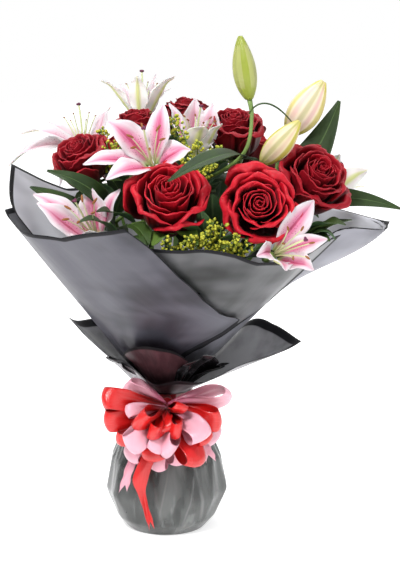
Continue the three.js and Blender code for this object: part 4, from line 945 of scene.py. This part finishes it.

# Leaves that fill the gaps under the roses: name, rose stem, root, tip, width and tone (2 is pale);
# the low tones of the leaves deep in the gaps give a near-black green that is partly painted shade
fillerLook = {
    "front_left": ("front_middle", (-29, -100, 360), (-68, -120, 376), 27, .2),
    "front_low": ("front_middle", (-32, -112, 362), (-14, -138, 345), 22, .9),
    "pale_left": ("front_middle", (8, -108, 352), (-10, -138, 344), 22, 2),
    "pale_right": ("front_middle", (16, -108, 354), (35, -140, 345), 21, 1.9),
    "front_gap": ("front_right", (60, -98, 336), (86, -136, 350), 26, .2),
    "front_gap_right": ("front_right", (80, -90, 334), (112, -118, 346), 26, .1),
    "lily_under": ("front_right", (74, -84, 314), (102, -110, 326), 30, .1),
    "front_gap_mid": ("front_right", (52, -96, 338), (70, -112, 362), 22, .1),
    "front_gap_low": ("front_right", (76, -94, 322), (92, -124, 342), 24, .2),
    "front_gap_left": ("front_right", (38, -100, 340), (18, -130, 362), 24, .3),
    "between_low": ("front_right", (44, -112, 344), (38, -126, 380), 15, .1),
    "between": ("front_right", (52, -86, 350), (50, -106, 392), 24, .2),
    "between_back": ("front_right", (40, -60, 360), (60, -84, 402), 24, .3),
    "right_low": ("right", (150, -62, 346), (190, -84, 356), 27, .4),
    "right_under": ("right", (146, -70, 338), (172, -102, 342), 24, .6),
    "right_inner": ("right", (122, -56, 350), (134, -92, 366), 22, .1),
    "left_under": ("left", (-58, -60, 368), (-92, -84, 382), 22, .2),
    "left_inner": ("left", (-52, -64, 362), (-38, -98, 394), 24, .1),
    "left_gap": ("left", (-56, -8, 362), (-82, -26, 398), 27, .1),
    "left_gap_high": ("back_left", (-30, 6, 392), (-62, -14, 418), 24, .2),
    "left_gap_low": ("left", (-42, -12, 366), (-68, 10, 400), 28, .2),
    "crown_gap": ("upper_right", (60, -28, 358), (58, -62, 402), 24, .1),
    "crown_low": ("upper_right", (40, -18, 376), (22, -60, 412), 26, .1),
    "crown": ("upper_right", (46, -4, 382), (66, -44, 418), 26, .3),
    "crown_back": ("back_middle", (14, 36, 396), (2, 6, 438), 26, .2),
    "crown_right": ("upper_right", (74, 0, 388), (104, -30, 412), 26, .2),
    "back_left": ("back_outer", (-52, 92, 340), (-92, 124, 366), 28, .4),
    "back_right": ("back_right", (74, 84, 346), (70, 130, 380), 28, .6),
}

for k, (name, (stem, root, tip, width, tone)) in enumerate(fillerLook.items()):
    root, tip = at(*root), at(*tip)
    bend = (root + tip) / 2 + at(0, 0, .2 * np.linalg.norm(tip - root))
    leaf = Patchwork().add(leafSurface(root, bend, tip, width, None, 1.7 * k, .07), tone=tone)
    makePiece("roseLeaf_" + name, leaf, [leafGreen, leafBack], "leaf", wall=.5)
    foot = nearestOn(stemOf["rose_stem_" + stem]["points"], root[None])[0]
    twig, _ = arch(foot, (foot + root) / 2 + at(0, 0, 4), root, np.linspace(0, 1, 12))
    makePiece("roseTwig_" + name, Patchwork().tube(twig, 1.0, 6, .4), [stemGreen], "stem")
print("stems and leaves set")

# Goldenrod branches carry tufts: each floret is a small pod that points out and up
def floretStack(line, count, pick):
    t = pick.uniform(.22, 1, count) ** .8
    spot = pointsAt(t, np.linspace(0, 1, len(line)), line)
    way = unit(line[-1] - line[0])
    angle = np.arange(count) * goldenAngle
    out = roundAxis(way, angle)
    reach = goldenrodLook["spread"] * pick.uniform(.35, 1.1, count) * (1.15 - .5 * t)
    aim = unit(out + way * pick.uniform(.2, .9, (count, 1)))
    foot = spot + out * reach[:, None]
    rows = np.array([0, .3, .7, 1])
    width = np.array([0, 1, 1.15, 0])
    size = pick.uniform(.9, 1.6, count)[:, None, None, None]
    side = unit(np.cross(aim, at(.3, .2, 1)))
    other = np.cross(aim, side)
    turn = np.linspace(0, fullTurn, 5, endpoint=False)
    ring = np.cos(turn)[:, None] * side[:, None, None] + np.sin(turn)[:, None] * other[:, None, None]
    surface = (foot[:, None, None] + aim[:, None, None] * (rows * 3.4)[:, None, None] * size
               + ring * width[:, None, None] * size)
    return surface, spot, foot, pick.uniform(0, 1, (count, 1, 1))

# Yellow that turns green at a floret's foot; tone is how warm the yellow is
def goldenrodPaint(u, v, tone, place, uv):
    grain = place.noise(1500)
    flower = tone.blend((.38, .4, .02), (.62, .58, .05))
    return {"Base Color": (v.between(.1, .8) * .9 + .1).blend((.12, .2, .02), flower),
            "Roughness": grain * .2 + .55, "Bump": (grain, .5, .0004)}

goldenrodYellow = makeMaterial("goldenrodYellow", {}, goldenrodPaint)
steps = tieLook["stalkSteps"]
stemSteps, radius, sides = goldenrodLook["stem"]
for seed, (name, (top, ends)) in enumerate(goldenrodLook["sprays"].items()):
    pick = np.random.default_rng(goldenrodLook["seed"] + seed)
    top = at(*top)
    stalk = Patchwork().tube(lineThrough(stemOf[name]["points"], stemSteps), radius, sides)
    tufts = Patchwork()
    for end in ends:
        end = at(*end)
        bend = at(mix(top[0], end[0], .3), mix(top[1], end[1], .3), mix(top[2], end[2], .7))
        line, _ = arch(top - at(0, 0, 2), bend, end, np.linspace(0, 1, steps))
        stalk.tube(line, np.linspace(1.3, .5, steps), 6, .5)
        surface, spot, foot, tone = floretStack(line, goldenrodLook["florets"], pick)
        tufts.add(surface, tone=tone, closed=True)
        for a, b in zip(spot[::2], foot[::2]):
            stalk.tube([a, (a + b) / 2, b], .28, 3, .8)
    makePiece("goldenrodStem_" + name, stalk, [stemGreen], "stem")
    makePiece("goldenrodTufts_" + name, tufts, [goldenrodYellow], "goldenrod", [name])

# Low sprigs: one branch each, from a point of the stem over a foot to the tip
sprigs, twigs = Patchwork(), Patchwork()
pick = np.random.default_rng(goldenrodLook["lowSeed"])
for name, foot, tip in goldenrodLook["low"]:
    foot, tip = at(*foot), at(*tip)
    start = nearestOn(stemOf["goldenrod_" + name]["points"], foot[None])[0]
    twig, _ = arch(start, foot, tip, np.linspace(0, 1, steps))
    surface, _, _, tone = floretStack(twig, goldenrodLook["fewer"], pick)
    twigs.tube(twig, np.linspace(1.2, .5, steps), 6, .5)
    sprigs.add(surface, tone=tone, closed=True)
makePiece("goldenrodSprigs", sprigs, [goldenrodYellow], "goldenrod")
makePiece("goldenrodTwigs", twigs, [stemGreen], "stem")
print("goldenrod set")


# Film: three sheets on one uneven cone, with a dark border along their cut edges

filmLook = {
    "wall": .25,
    "neckRadius": 21,
    "layerStep": (1.7, .036), # between layers: at the neck, and more for each millimetre up
    "layerTurn": (194, 226),  # degrees between which the layer on the left gives way to the other
    "flaring": (130, 280),    # how far up the flare begins, and where it is full
    "foot": -15,              # how far below the neck the sheets end
    "lean": [(0, 44), (30, 41), (60, 37), (90, 34), (135, 33), (165, 32),
             (188, 36), (230, 34.5), (256, 35), (280, 37), (306, 40), (334, 42.5)],
    # layer on the left and elsewhere, then (share of the way up, degrees) along both side borders,
    # rim length and flare round the cone, widths of the dark edge low and high at the sides and at
    # the rim, dark and light colour, how dense it is, between which shares across it turns light, a
    # painted light on that side of the sheet
    "sheets": {
        "wrap_back": (
            (0, 0),
            [(0, -95), (.88, -25), (.935, -16), (.968, -8), (1, 7)],
            [(0, 192), (1, 192)],
            [(-24, 256), (7, 287), (36, 246), (90, 232), (140, 242), (168, 286), (192, 240)],
            [(-17, 0), (7, 42), (44, 0)],
            (8, 8, 6.5), (.17, .17, .195), (.34, .34, .385), .9, (1.1, 1.2)),
        "wrap_front_right": (
            (1, 1),
            [(0, 228), (1, 240)],
            [(0, 282), (.25, 291), (.33, 303), (.41, 315), (.46, 320), (.51, 325), (.545, 330),
             (.57, 338), (.68, 343), (.76, 344), (1, 344)],
            [(200, 220), (236, 224), (266, 228), (284, 228), (296, 225), (305, 216), (318, 214),
             (326, 224), (336, 242), (344, 242)],
            [(0, 0), (180, 0)],
            (7, 9, 5), (.018, .02, .019), (.175, .175, .184), .84, (.72, 1)),
        "wrap_front_left": (
            (1, 2),
            [(0, 168), (1, 168)],
            [(0, 282), (.25, 291), (.33, 302), (.41, 313), (.465, 316), (.5, 315), (.53, 301),
             (.61, 289), (.75, 276.5), (.9, 267), (1, 259)],
            [(168, 232), (187, 245), (208, 232), (232, 228), (259, 256), (316, 246)],
            [(0, 0), (180, 0)],
            (6.5, 2, 6.5), (.034, .033, .043), (.13, .128, .155), .86, (.34, .02)),
    },
    # the inner faces that differ from the outer ones: painted lighter, as painted light on the inside
    "inside": {"wrap_back": ((.52, .52, .58), (.8, .8, .88), .9, (.2, .03))},
    # short tongues over the bow: middle, lean, length, half spread below and above, radius, crumple
    "flaps": {
        "front": (264, 43, 88, (36, 46), 26, 1.2),
        "right": (306, 47, 74, (20, 30), 25, 4),
        "right_low": (330, 53, 56, (16, 26), 25, 4),
        "left": (216, 45, 58, (13, 20), 25.5, 3),
    },
    "flapBorder": (6.5, 6.5, 6.5),
    "grid": (124, 72),        # points across and along a sheet, and a tongue
    "flapGrid": (44, 32),
}

# Points on the cone: slant is the way up, and below 0 the film hangs in the neck
def onWrap(degrees, slant, layer, flare):
    lean = np.radians(roundStops(filmLook["lean"], degrees))
    angle = np.radians(degrees)
    rising = np.maximum(slant, 0)
    step, spread = filmLook["layerStep"]
    foot = filmLook["neckRadius"] + layer * (step + spread * rising)
    ripple = 2.2 * np.sin(7 * angle + 1) * smooth(20, 240, slant) + flare
    ripple = ripple + .5 * np.sin(31 * angle) * window(0, 12, 25, 120, slant)
    ripple = ripple + .35 * np.sin(17 * angle + slant * .03) * smooth(60, 200, slant)
    radius = foot + rising * np.sin(lean) + ripple * np.cos(lean)
    height = tieLook["neck"] + np.minimum(slant, 0) + rising * np.cos(lean) - ripple * np.sin(lean)
    return polar(radius, angle, height)

# Lengths of the steps of a grid, across it and along it
def stepLengths(surface):
    return [np.linalg.norm(np.diff(surface, axis=axis), axis=-1) for axis in (1, 0)]

# Distance of every grid point from the side and upper edges, along the rows and the columns, as
# shares of the widths of the dark edge there; below half way the side edge has a width of its own
def edgeDistance(surface, lowWidth, highWidth, rimWidth):
    across, along = stepLengths(surface)
    zero = np.zeros((surface.shape[0], 1))
    fromLeft = np.hstack([zero, np.cumsum(across, axis=1)])
    fromRight = fromLeft[:, -1:] - fromLeft
    below = np.vstack([np.zeros((1, surface.shape[1])), np.cumsum(along, axis=0)])
    sideWidth = mix(lowWidth, highWidth, smooth(.47, .5, np.linspace(0, 1, len(surface))))[:, None]
    return np.minimum(np.minimum(fromLeft, fromRight) / sideWidth, (below[-1:] - below) / rimWidth)

# The flat size that a sheet was cut to: its widest row, its longest column and its area
def flatSize(surface):
    across, along = stepLengths(surface)
    size = (across.sum(1).max() * millimetre, along.sum(0).max() * millimetre)
    a = surface[1:, 1:] - surface[:-1, :-1]
    b = surface[1:, :-1] - surface[:-1, 1:]
    area = np.linalg.norm(np.cross(a, b), axis=-1).sum() / 2
    return size, area * millimetre ** 2

# A sheet between its two side borders and below its rim; its first row hangs in the neck
def wrapSurface(layer, start, stop, rim, flareStops):
    u, v = uvGrid(*filmLook["grid"])
    u, v = np.vstack([u[:1], u]), np.vstack([v[:1], v])
    degrees = mix(np.interp(v, *np.array(start).T), np.interp(v, *np.array(stop).T), u)
    slant = roundStops(rim, degrees, straight=True) * v
    slant[0] = filmLook["foot"]
    flare = roundStops(flareStops, degrees) * smooth(*filmLook["flaring"], slant)
    return onWrap(degrees, slant, mix(*layer, smooth(*filmLook["layerTurn"], degrees)), flare)

# Grey translucent film: wide soft clouds over faint folds, lighter in patches that are partly painted
# reflection, and a border that is nearly black, where tone is below 1. One side of a sheet is painted
# lighter, as painted light. In front, low in the cone, it is dark plum, a painted shade in the neck
def filmPaint(dark, light, dense, side):
    def paint(u, v, tone, place, uv):
        border = tone.fade(.88, 1.12)
        haze = place.noise(6.5, 2, .4)
        fold = uv.streaks(6, .8, 2, .45)
        crease = uv.streaks(30, 5)
        soft = place.scaled(1, 1, 2.2).noise(13)
        # partly painted reflection: lighter patches of haze
        hazeAndReflection = (haze * .4 + fold * .25 + soft * .35).between(.42, .57)
        # painted light towards one side of the sheet
        clear = (hazeAndReflection * .7 + u.between(*side) * .6).least(1)
        # painted shade: dark plum low in the neck in front
        low = v.fade(.06, .44) * (place.part(0) + .004).size().fade(.012, .07)
        film = (low * .9).blend(clear.blend(dark, light), (.022, .015, .019))
        return {
            "Base Color": border.blend(film, (.007, .007, .009)),
            "Roughness": haze * .2 + border * .3 + .3,
            "Coat Weight": (1 - border) * .2,
            "Alpha": (border * .4 + low * .2 + dense).least(1),
            "Bump": (crease * .35 + fold * 2, .35, .003),
        }
    return paint

# A sheet of film: a piece with a dark edge, whose flat size and area are printed
def cutFilm(name, surface, border, films, slotName, nodes):
    patch = Patchwork().add(surface, tone=edgeDistance(surface, *border))
    piece = makePiece("film_" + name, patch, films, slotName, nodes, wall=filmLook["wall"])
    flat, area = flatSize(surface)
    print(name, "cut to", [round(x, 3) for x in flat], "area", round(area, 4))

for name, (layer, start, stop, rim, flareStops, border, *look) in filmLook["sheets"].items():
    films = [makeMaterial("greyFilm_" + name, {"Specular IOR Level": .22, "Coat Roughness": .3},
                          filmPaint(*face)) for face in [look, filmLook["inside"].get(name, look)]]
    cutFilm(name, wrapSurface(layer, start, stop, rim, flareStops), border, films, "film", [name])

# The dark flap in front, a short rounded tongue of film that stands up over the bow, and smaller
# crumpled ones beside it. A tongue rises from the tie, highest left of its middle
def flapSurface(middle, lean, length, halfSpread, foot, crumple):
    across, v = bladeGrid(*filmLook["flapGrid"])
    step = v * 5
    rising = np.maximum(step - 1, 0) / 4 * length * (1 - .35 * across ** 2 - .12 * across)
    spread = mix(*halfSpread, v) * (1 - .3 * v ** 4) * np.where(across < 0, .88, 1) * across
    angle = np.radians(middle + spread)
    lean = np.radians(lean)
    fold = crumple * np.sin(9 * across + 1) * smooth(.2, .9, v)
    fold = fold + crumple / 2 * np.sin(21 * across + 4 * v) * (1 - smooth(.3, 1, v))
    radius = foot + rising * np.sin(lean) + 7 * smooth(.7, 1, v) + fold
    height = tieLook["neck"] - 10 * np.maximum(1 - step, 0) + rising * np.cos(lean)
    return polar(radius, angle, height)

# Dark plum film, darker low down as painted shade where it meets the cone, with a black edge
def flapPaint(u, v, tone, place, uv):
    border = tone.fade(.9, 1.1)
    haze = place.noise(22)
    crease = uv.streaks(14, 3, 3)
    face = (haze * .6 + crease * .4).between(.35, .65).blend((.036, .014, .017), (.075, .032, .038))
    # painted shade low on the flap
    dark = v.between(.05, .3).blend((.02, .009, .011), face)
    return {"Base Color": border.blend(dark, (.006, .005, .006)),
            "Roughness": haze * .2 + border * .25 + .42, "Bump": (crease + haze, .35, .002),
            "Coat Weight": (1 - border) * .12}

# Black film with painted highlights: its folds are painted lighter where they would catch the light
def crumplePaint(u, v, tone, place, uv):
    fold = place.noise(60)
    # painted highlight on the folds
    return {"Base Color": fold.between(.5, .7).blend((.006, .005, .006), (.05, .045, .05)),
            "Roughness": fold * .2 + .12, "Bump": (fold, .6, .004)}

blackFilm = makeMaterial("blackFilm", {"Coat Weight": .5, "Coat Roughness": .08}, crumplePaint)
darkFilm = makeMaterial("darkFilm", {"Specular IOR Level": .12, "Coat Roughness": .2}, flapPaint)
for name, look in filmLook["flaps"].items():
    front = name == "front"
    cutFilm("flap_" + name, flapSurface(*look), filmLook["flapBorder"],
            [darkFilm if front else blackFilm], "dark_film", ["film_flap"] if front else [])
print("film wrapped")


# The water bubble: a film bag with a flat base, a pleated bulge, a tied neck and a flared collar

bagLook = {
    "wall": .3,
    "profile": [(44, 0), (56, 14), (67, 43), (61, 80), (43, 122), (27.8, 147), (27.8, 158)],
    "collarLean": [(-8, 63), (22, 48), (60, 50), (97, 52), (140, 44), (187, 45), (225, 43),
                   (262, 56), (315, 63)],
    "collarLength": [(-8, 138), (8, 112), (24, 98), (60, 66), (97, 108), (130, 70), (157, 96),
                     (187, 122), (204, 98), (217, 66), (262, 32), (307, 52), (337, 100)],
    # two sets of slanting ridges: waves round the bag, how far they turn for each millimetre up, where
    # they start, how deep they are, and how wide the painted highlight on a crest is
    "ridges": [(4, .012, 0, 1.3, .22), (6.5, -.02, 2, .9, .16)],
    "border": 11,             # width of the dark edge of the collar
    "grid": (208, 66, 30),    # points round the bag, up its body and up its collar
    "firstColumn": -8,        # degrees
}

# The profile runs almost straight from point to point. Round the bag the film stands in slanting
# ridges, sharp outside and hollow between them, deepest half way between base and neck
def bagSurface():
    columns, low, high = bagLook["grid"]
    neckRadius, neckHeight = bagLook["profile"][-1]
    degrees = bagLook["firstColumn"] + 360 * np.arange(columns) / columns
    angle = np.radians(degrees)
    r, z = lineThrough([(r, 0, z) for r, z in bagLook["profile"]], low)[:, 0::2].T[..., None]
    r = mix(r, np.interp(z, *np.array([(z, r) for r, z in bagLook["profile"]]).T), .8)
    pleat = sum(depth * (1 - 2 * np.abs(np.sin(waves * angle + slant * z + start)))
                for waves, slant, start, depth, _ in bagLook["ridges"])
    fine = .7 * np.sin(23 * angle + z * .02) * window(30, 110, 140, 147, z)
    fine = fine + .45 * np.sin(37 * angle - z * .03) * window(60, 125, 141, 147, z)
    radius = r + pleat * window(5, 40, 120, 146, z) + fine
    radius = np.where(z < 3, mix(r, radius, z / 3), radius)
    body = polar(radius, angle, z)
    base = body[:1] * np.linspace(0, 1, 8)[:-1, None, None]
    lean = np.radians(roundStops(bagLook["collarLean"], degrees))
    reach = roundStops(bagLook["collarLength"], degrees, straight=True)
    slant = np.linspace(0, 1, high + 1)[1:, None] * reach
    fold = .04 * slant * np.sin(8 * angle)
    gathers = .5 * np.sin(29 * angle) * window(0, 10, 15, 50, slant)
    fan = neckRadius + slant * np.sin(lean) + gathers
    collar = polar(fan, angle, neckHeight + slant * np.cos(lean) + fold)
    surface = np.concatenate([base, body, collar])
    noEdge = np.full((len(base) + len(body), columns), 9.0)
    edge = np.concatenate([noEdge, (reach - slant) / bagLook["border"]])
    u = np.broadcast_to(np.arange(columns) / columns, edge.shape)
    v = np.broadcast_to(np.linspace(0, 1, len(surface))[:, None], edge.shape)
    return surface, u, v, edge

# Clear grey film over water: long upright streaks with thin painted highlights, painted highlights
# on the crests of the two sets of ridges, painted shade down its right side, and a matt grey collar
# that is plum in front
def bagPaint(u, v, tone, place, uv):
    border = tone.fade(.9, 1.1)
    haze = place.noise(14)
    streak = place.scaled(1, 1, .14).noise(52, 3)
    collar = v.between(.66, .7)
    film = (streak * .7 + haze * .3).between(.38, .66).blend((.03, .034, .032), (.16, .17, .164))
    # thin upright painted highlights
    film = (place.scaled(1, 1, .1).noise(120).between(.58, .72) * .3).blend(film, (.4, .42, .41))
    # painted shade down the right side of the bag
    film = (place.part(0).between(.02, .06) * .5).blend(film, (.05, .055, .052))
    height = place.part(2)
    first = np.radians(bagLook["firstColumn"])
    wide, narrow = (
        (u * (waves * fullTurn) + height * (slant / millimetre) + (start + waves * first))
        .sine().size().fade(.02, width) for waves, slant, start, _, width in bagLook["ridges"])
    # painted highlight on the crests of the ridges
    crestHighlight = (wide * .6 + narrow * .4) * haze.between(.35, .6) * height.between(.01, .03)
    film = (crestHighlight * .55).blend(film, (.42, .43, .42))
    matt = (haze * .6 + streak * .4).between(.36, .64).blend((.2, .2, .21), (.46, .46, .48))
    film = collar.blend(film, matt)
    front = (u - .75).size().fade(.04, .085)
    film = (collar * front).blend(film, (.024, .011, .013))
    return {"Base Color": border.blend(film, (.007, .007, .009)),
            "Roughness": haze * .15 + collar * .2 + border * .2 + .16,
            "Coat Weight": (1 - border) * (1 - collar * .5) * .4,
            "Alpha": (border * .2 + collar * .04 + .8).least(1),
            "Bump": (streak * 1.2 + haze * .5, .4, .002)}

bagFilm = makeMaterial("bagFilm", {"Specular IOR Level": .3, "Coat Roughness": .12}, bagPaint)
makePiece("waterBag", Patchwork().add(*bagSurface(), closed=True), [bagFilm],
          "film", ["film_bag"], wall=bagLook["wall"])

# Clear water, so faint that the stems show through
def waterPaint(u, v, tone, place, uv):
    ripple = place.noise(40)
    return {"Base Color": ripple.blend((.4, .44, .46), (.55, .6, .62)), "Alpha": ripple * .05 + .22,
            "Bump": (ripple, .1, .002)}

water = makeMaterial("bagWater", {"Roughness": .04, "IOR": 1.33}, waterPaint)

# Brown fibre in fine strands
def twinePaint(u, v, tone, place, uv):
    strand = place.scaled(1, 1, 5).noise(500)
    return {"Base Color": strand.blend((.2, .14, .06), (.42, .33, .18)), "Roughness": strand * .1 + .8,
            "Bump": (strand, .8, .0006)}

twine = makeMaterial("twineFibre", {}, twinePaint)
dressNode("bag_water", water)
dressNode("tie_twine", twine)
print("bag filled")


# Ribbon: satin loops in four layers, pinched at the knot, over a band round the neck

ribbonLook = {
    "width": 26,
    "wall": .35,
    "middle": (2, -45, 151),
    "hanging": 14,            # how much more the lower loops lean forward, over the bag
    "open": .11,              # of its length, by which a loop stands open
    "roll": 1.05,             # radians, by which it turns about its own length at most
    "grid": (15, 61),         # points across and along a loop, and a tail
    "tailGrid": (11, 46),
    "tailSide": (.97, 0, .24),    # which way the width of a tail runs
    "layers": {               # forward, lean, loops (angle, reach, width), tails (path, width, end share)
        "bow_pink_back": (0, 8, [(12, 72, 26), (154, 52, 24), (328, 68, 24), (236, 74, 24), (282, 68, 22),
                                 (304, 64, 20), (262, 74, 18)],
                          [([(-18, -57, 118), (-36, -63, 90), (-46, -69, 58)], 15, .7),
                           ([(26, -60, 126), (44, -66, 108), (50, -68, 92)], 15, .8)]),
        "bow_red_middle": (5, 28, [(164, 80, 24), (352, 68, 26), (302, 80, 26), (254, 68, 24),
                                   (208, 72, 20), (186, 76, 24), (230, 62, 20), (326, 66, 20)],
                           [([(-5, -59, 134), (-11, -69, 117), (-19, -79, 98), (-26, -84, 76),
                              (-14, -81, 20)], 19, .35)]),
        "bow_pink_front": (10, 45, [(214, 78, 24), (276, 68, 22), (335, 70, 24), (170, 60, 14),
                                    (248, 66, 18)], []),
        "bow_red_front": (17, 62, [(176, 62, 24), (38, 46, 14), (262, 46, 20), (222, 58, 18),
                                   (318, 54, 18)], []),
    },
}

# A loop runs out along its direction and back: a drop in side view that stands open, rolls about
# its own length and is gathered in pleats at the knot. The tone is how far out a point is
def loopSurface(centre, angle, reach, width, layerLean, seed):
    side, v = bladeGrid(*ribbonLook["grid"])
    angle = np.radians(angle)
    lean = np.radians(layerLean + ribbonLook["hanging"] * max(0, -np.sin(angle)))
    radial = at(np.cos(angle), 0, np.sin(angle))
    forward = at(0, -1, 0)
    along = radial * np.cos(lean) + forward * np.sin(lean)
    across = unit(np.cross(radial, forward))
    bulge = unit(np.cross(along, across))
    turn = np.pi * (2 * v - 1)
    share = np.maximum(np.cos(turn / 2), 0) ** .8
    roll = (ribbonLook["roll"] * np.sin(2.4 * seed + 1) * share)[..., None]
    rolled = across * np.cos(roll) + bulge * np.sin(roll)
    bulge = bulge * np.cos(roll) - across * np.sin(roll)
    gather = 1 - np.minimum(1, share / 1.15)
    spread = width * mix(.12, 1, np.minimum(1, share / .7) ** .9)
    opened = ribbonLook["open"] * reach * np.sin(turn) + np.sign(v - .5) * .6
    opened = opened + 3 * np.sin(5.5 * side + 2 * seed) * gather * hump(np.clip(share * 1.1, 0, 1))
    cupped = 1.6 * np.sin(1.7 * seed) * side ** 2 * np.sign(v - .5) * hump(np.clip(share, 0, 1))
    opened = opened + cupped + 2.4 * np.sin(3 * share + seed) * side * share
    outward = mix(1, reach * (1 - .05 * side ** 2), share)
    surface = (centre + along * outward[..., None] + bulge * opened[..., None]
               + rolled * (side / 2 * spread)[..., None])
    return surface, share

# A tail hangs along its path, twists a little, and narrows to an end that is cut to a point
def tailSurface(centre, path, width, end, seed):
    side, v = bladeGrid(*ribbonLook["tailGrid"])
    line = lineThrough([centre, *path], len(v))
    cut = smooth(.8, 1, v) * (1 - np.abs(side)) * 9
    half = width / 2 * mix(.25, 1, smooth(0, .4, v)) * mix(1, end, smooth(.55, .75, v))
    half = half * (1 + .12 * np.sin(40 * v + 3 * side) * smooth(.5, .8, v))
    sway = 1.6 * np.sin(2.4 * side + 7 * v + seed) * smooth(.1, .5, v)
    down = unit(np.gradient(line, axis=0))[:, None]
    surface = (line[:, None] + at(*ribbonLook["tailSide"]) * (side * half)[..., None]
               - down * cut[..., None] + at(0, -1, 0) * sway[..., None])
    return surface, smooth(0, .3, v)

# Satin: fine threads along the ribbon and a silky sheen, darker towards the knot as painted shade
def satinPaint(light, dark, shadedKnot):
    def paint(u, v, tone, place, uv):
        thread = uv.streaks(220, 6)
        cloud = place.noise(60)
        edge = u.fromMiddle().between(.93, .97)
        face = (cloud * .5 + edge * .4 + thread * .15).least(1).blend(light, dark)
        # painted shade: the colour darkens towards the knot
        return {"Base Color": tone.between(.15, .75).blend(shadedKnot, face),
                "Roughness": thread * .12 + .22,
                "Bump": (thread + edge * -1, .25, .0004)}
    return paint

# the last colour of each satin is the painted shade at the knot
redSatin, pinkSatin = (
    makeMaterial(name, {"Sheen Weight": sheen, "Sheen Roughness": .3, "Specular IOR Level": .7},
                 satinPaint(*colours))
    for name, sheen, *colours in (
        ("redSatin", .08, (.72, .012, .01), (.4, .003, .005), (.16, .001, .002)),
        ("pinkSatin", .2, (.84, .46, .54), (.66, .26, .35), (.44, .08, .15))))

for name, (forward, lean, loops, tails) in ribbonLook["layers"].items():
    centre = at(*ribbonLook["middle"]) - at(0, forward + 1.6, 0)
    patch = Patchwork()
    surfaces = [loopSurface(centre, *loop, lean, k + forward) for k, loop in enumerate(loops)]
    surfaces += [tailSurface(centre, *tail, forward) for tail in tails]
    for surface, share in surfaces:
        patch.add(surface, tone=share)
    red = "red" in name
    piece = makePiece("ribbon_" + name, patch, [redSatin if red else pinkSatin],
                      "red_ribbon" if red else "pink_ribbon", [name], wall=ribbonLook["wall"])
    sizes = [flatSize(surface) for surface, share in surfaces]
    area = sum(area for flat, area in sizes)
    length = sum(flat[1] for flat, area in sizes)
    print(name, "length", round(length, 3), "area", round(area, 4))
    min(area, ribbonLook["width"] * millimetre * length)
dressNode("ribbon_band", redSatin)
print("bow tied")


# Stage: a pale floor, soft light and the camera of the photograph

stageLook = {
    "floor": (9000, .3),      # its size, and how far it lies below the bouquet
    "lights": [               # name, place, where it is aimed, size, power
        ("keyLight", (-.7, -1.3, 1.9), (0, 0, .3), .55, 42),
        ("fillLight", (1.5, -1.2, 1.0), (0, 0, .3), 1.4, 7),
        ("topLight", (.1, .5, 2.0), (0, 0, .35), 1.0, 16),
    ],
    "target": (.038, 0, .274),
    "distance": 1.9,
    "elevation": 12,
    "lens": 109,
}

# A flat square that glows a little, so that it stays pale
def stageFloor(size, drop):
    u, v = uvGrid(2, 2)
    floor = Patchwork().add(np.stack([(u - .5) * size, (v - .5) * size, u * 0 - drop], -1))
    piece = addObject("floor", floor.mesh("floor"))
    piece.data.materials.append(makeMaterial(
        "paleFloor", {"Roughness": .9, "Emission Color": (1, 1, 1), "Emission Strength": .6},
        lambda u, v, tone, place, uv: {
            "Base Color": place.noise(3).blend((.86, .86, .86), (.9, .9, .9))}))

# A round lamp that is turned to a point
def softLight(name, place, target, size, power):
    data = bpy.data.lights.new(name, "AREA")
    data.shape, data.size, data.energy = "DISK", size, power
    lamp = addObject(name, data)
    lamp.location = place
    aim = unit(at(*target) - at(*place))
    lamp.rotation_mode = "QUATERNION"
    lamp.rotation_quaternion = Vector(aim).to_track_quat("-Z", "Y")

stageFloor(*stageLook["floor"])
for light in stageLook["lights"]:
    softLight(*light)
world = bpy.data.worlds.new("studio")    # white behind the bouquet and dimmer in front of it
world.use_nodes = True
direction = addNode(world.node_tree, "TexCoord")
plug(world.node_tree, world.node_tree.nodes["Background"].inputs["Color"],
     direction.part(1).between(-.1, .75).blend((.42, .42, .44), (1, 1, 1)))
bpy.context.scene.world = world

data = bpy.data.cameras.new("photoCamera")
data.lens = stageLook["lens"]
camera = addObject("photoCamera", data)
rise = np.radians(stageLook["elevation"])
back = at(0, -np.cos(rise), np.sin(rise))
camera.location = at(*stageLook["target"]) + back * stageLook["distance"]
camera.rotation_euler = (np.pi / 2 - rise, 0, 0)
bpy.context.scene.camera = camera
bpy.context.scene.view_settings.view_transform = "Standard"

print("scene ready")
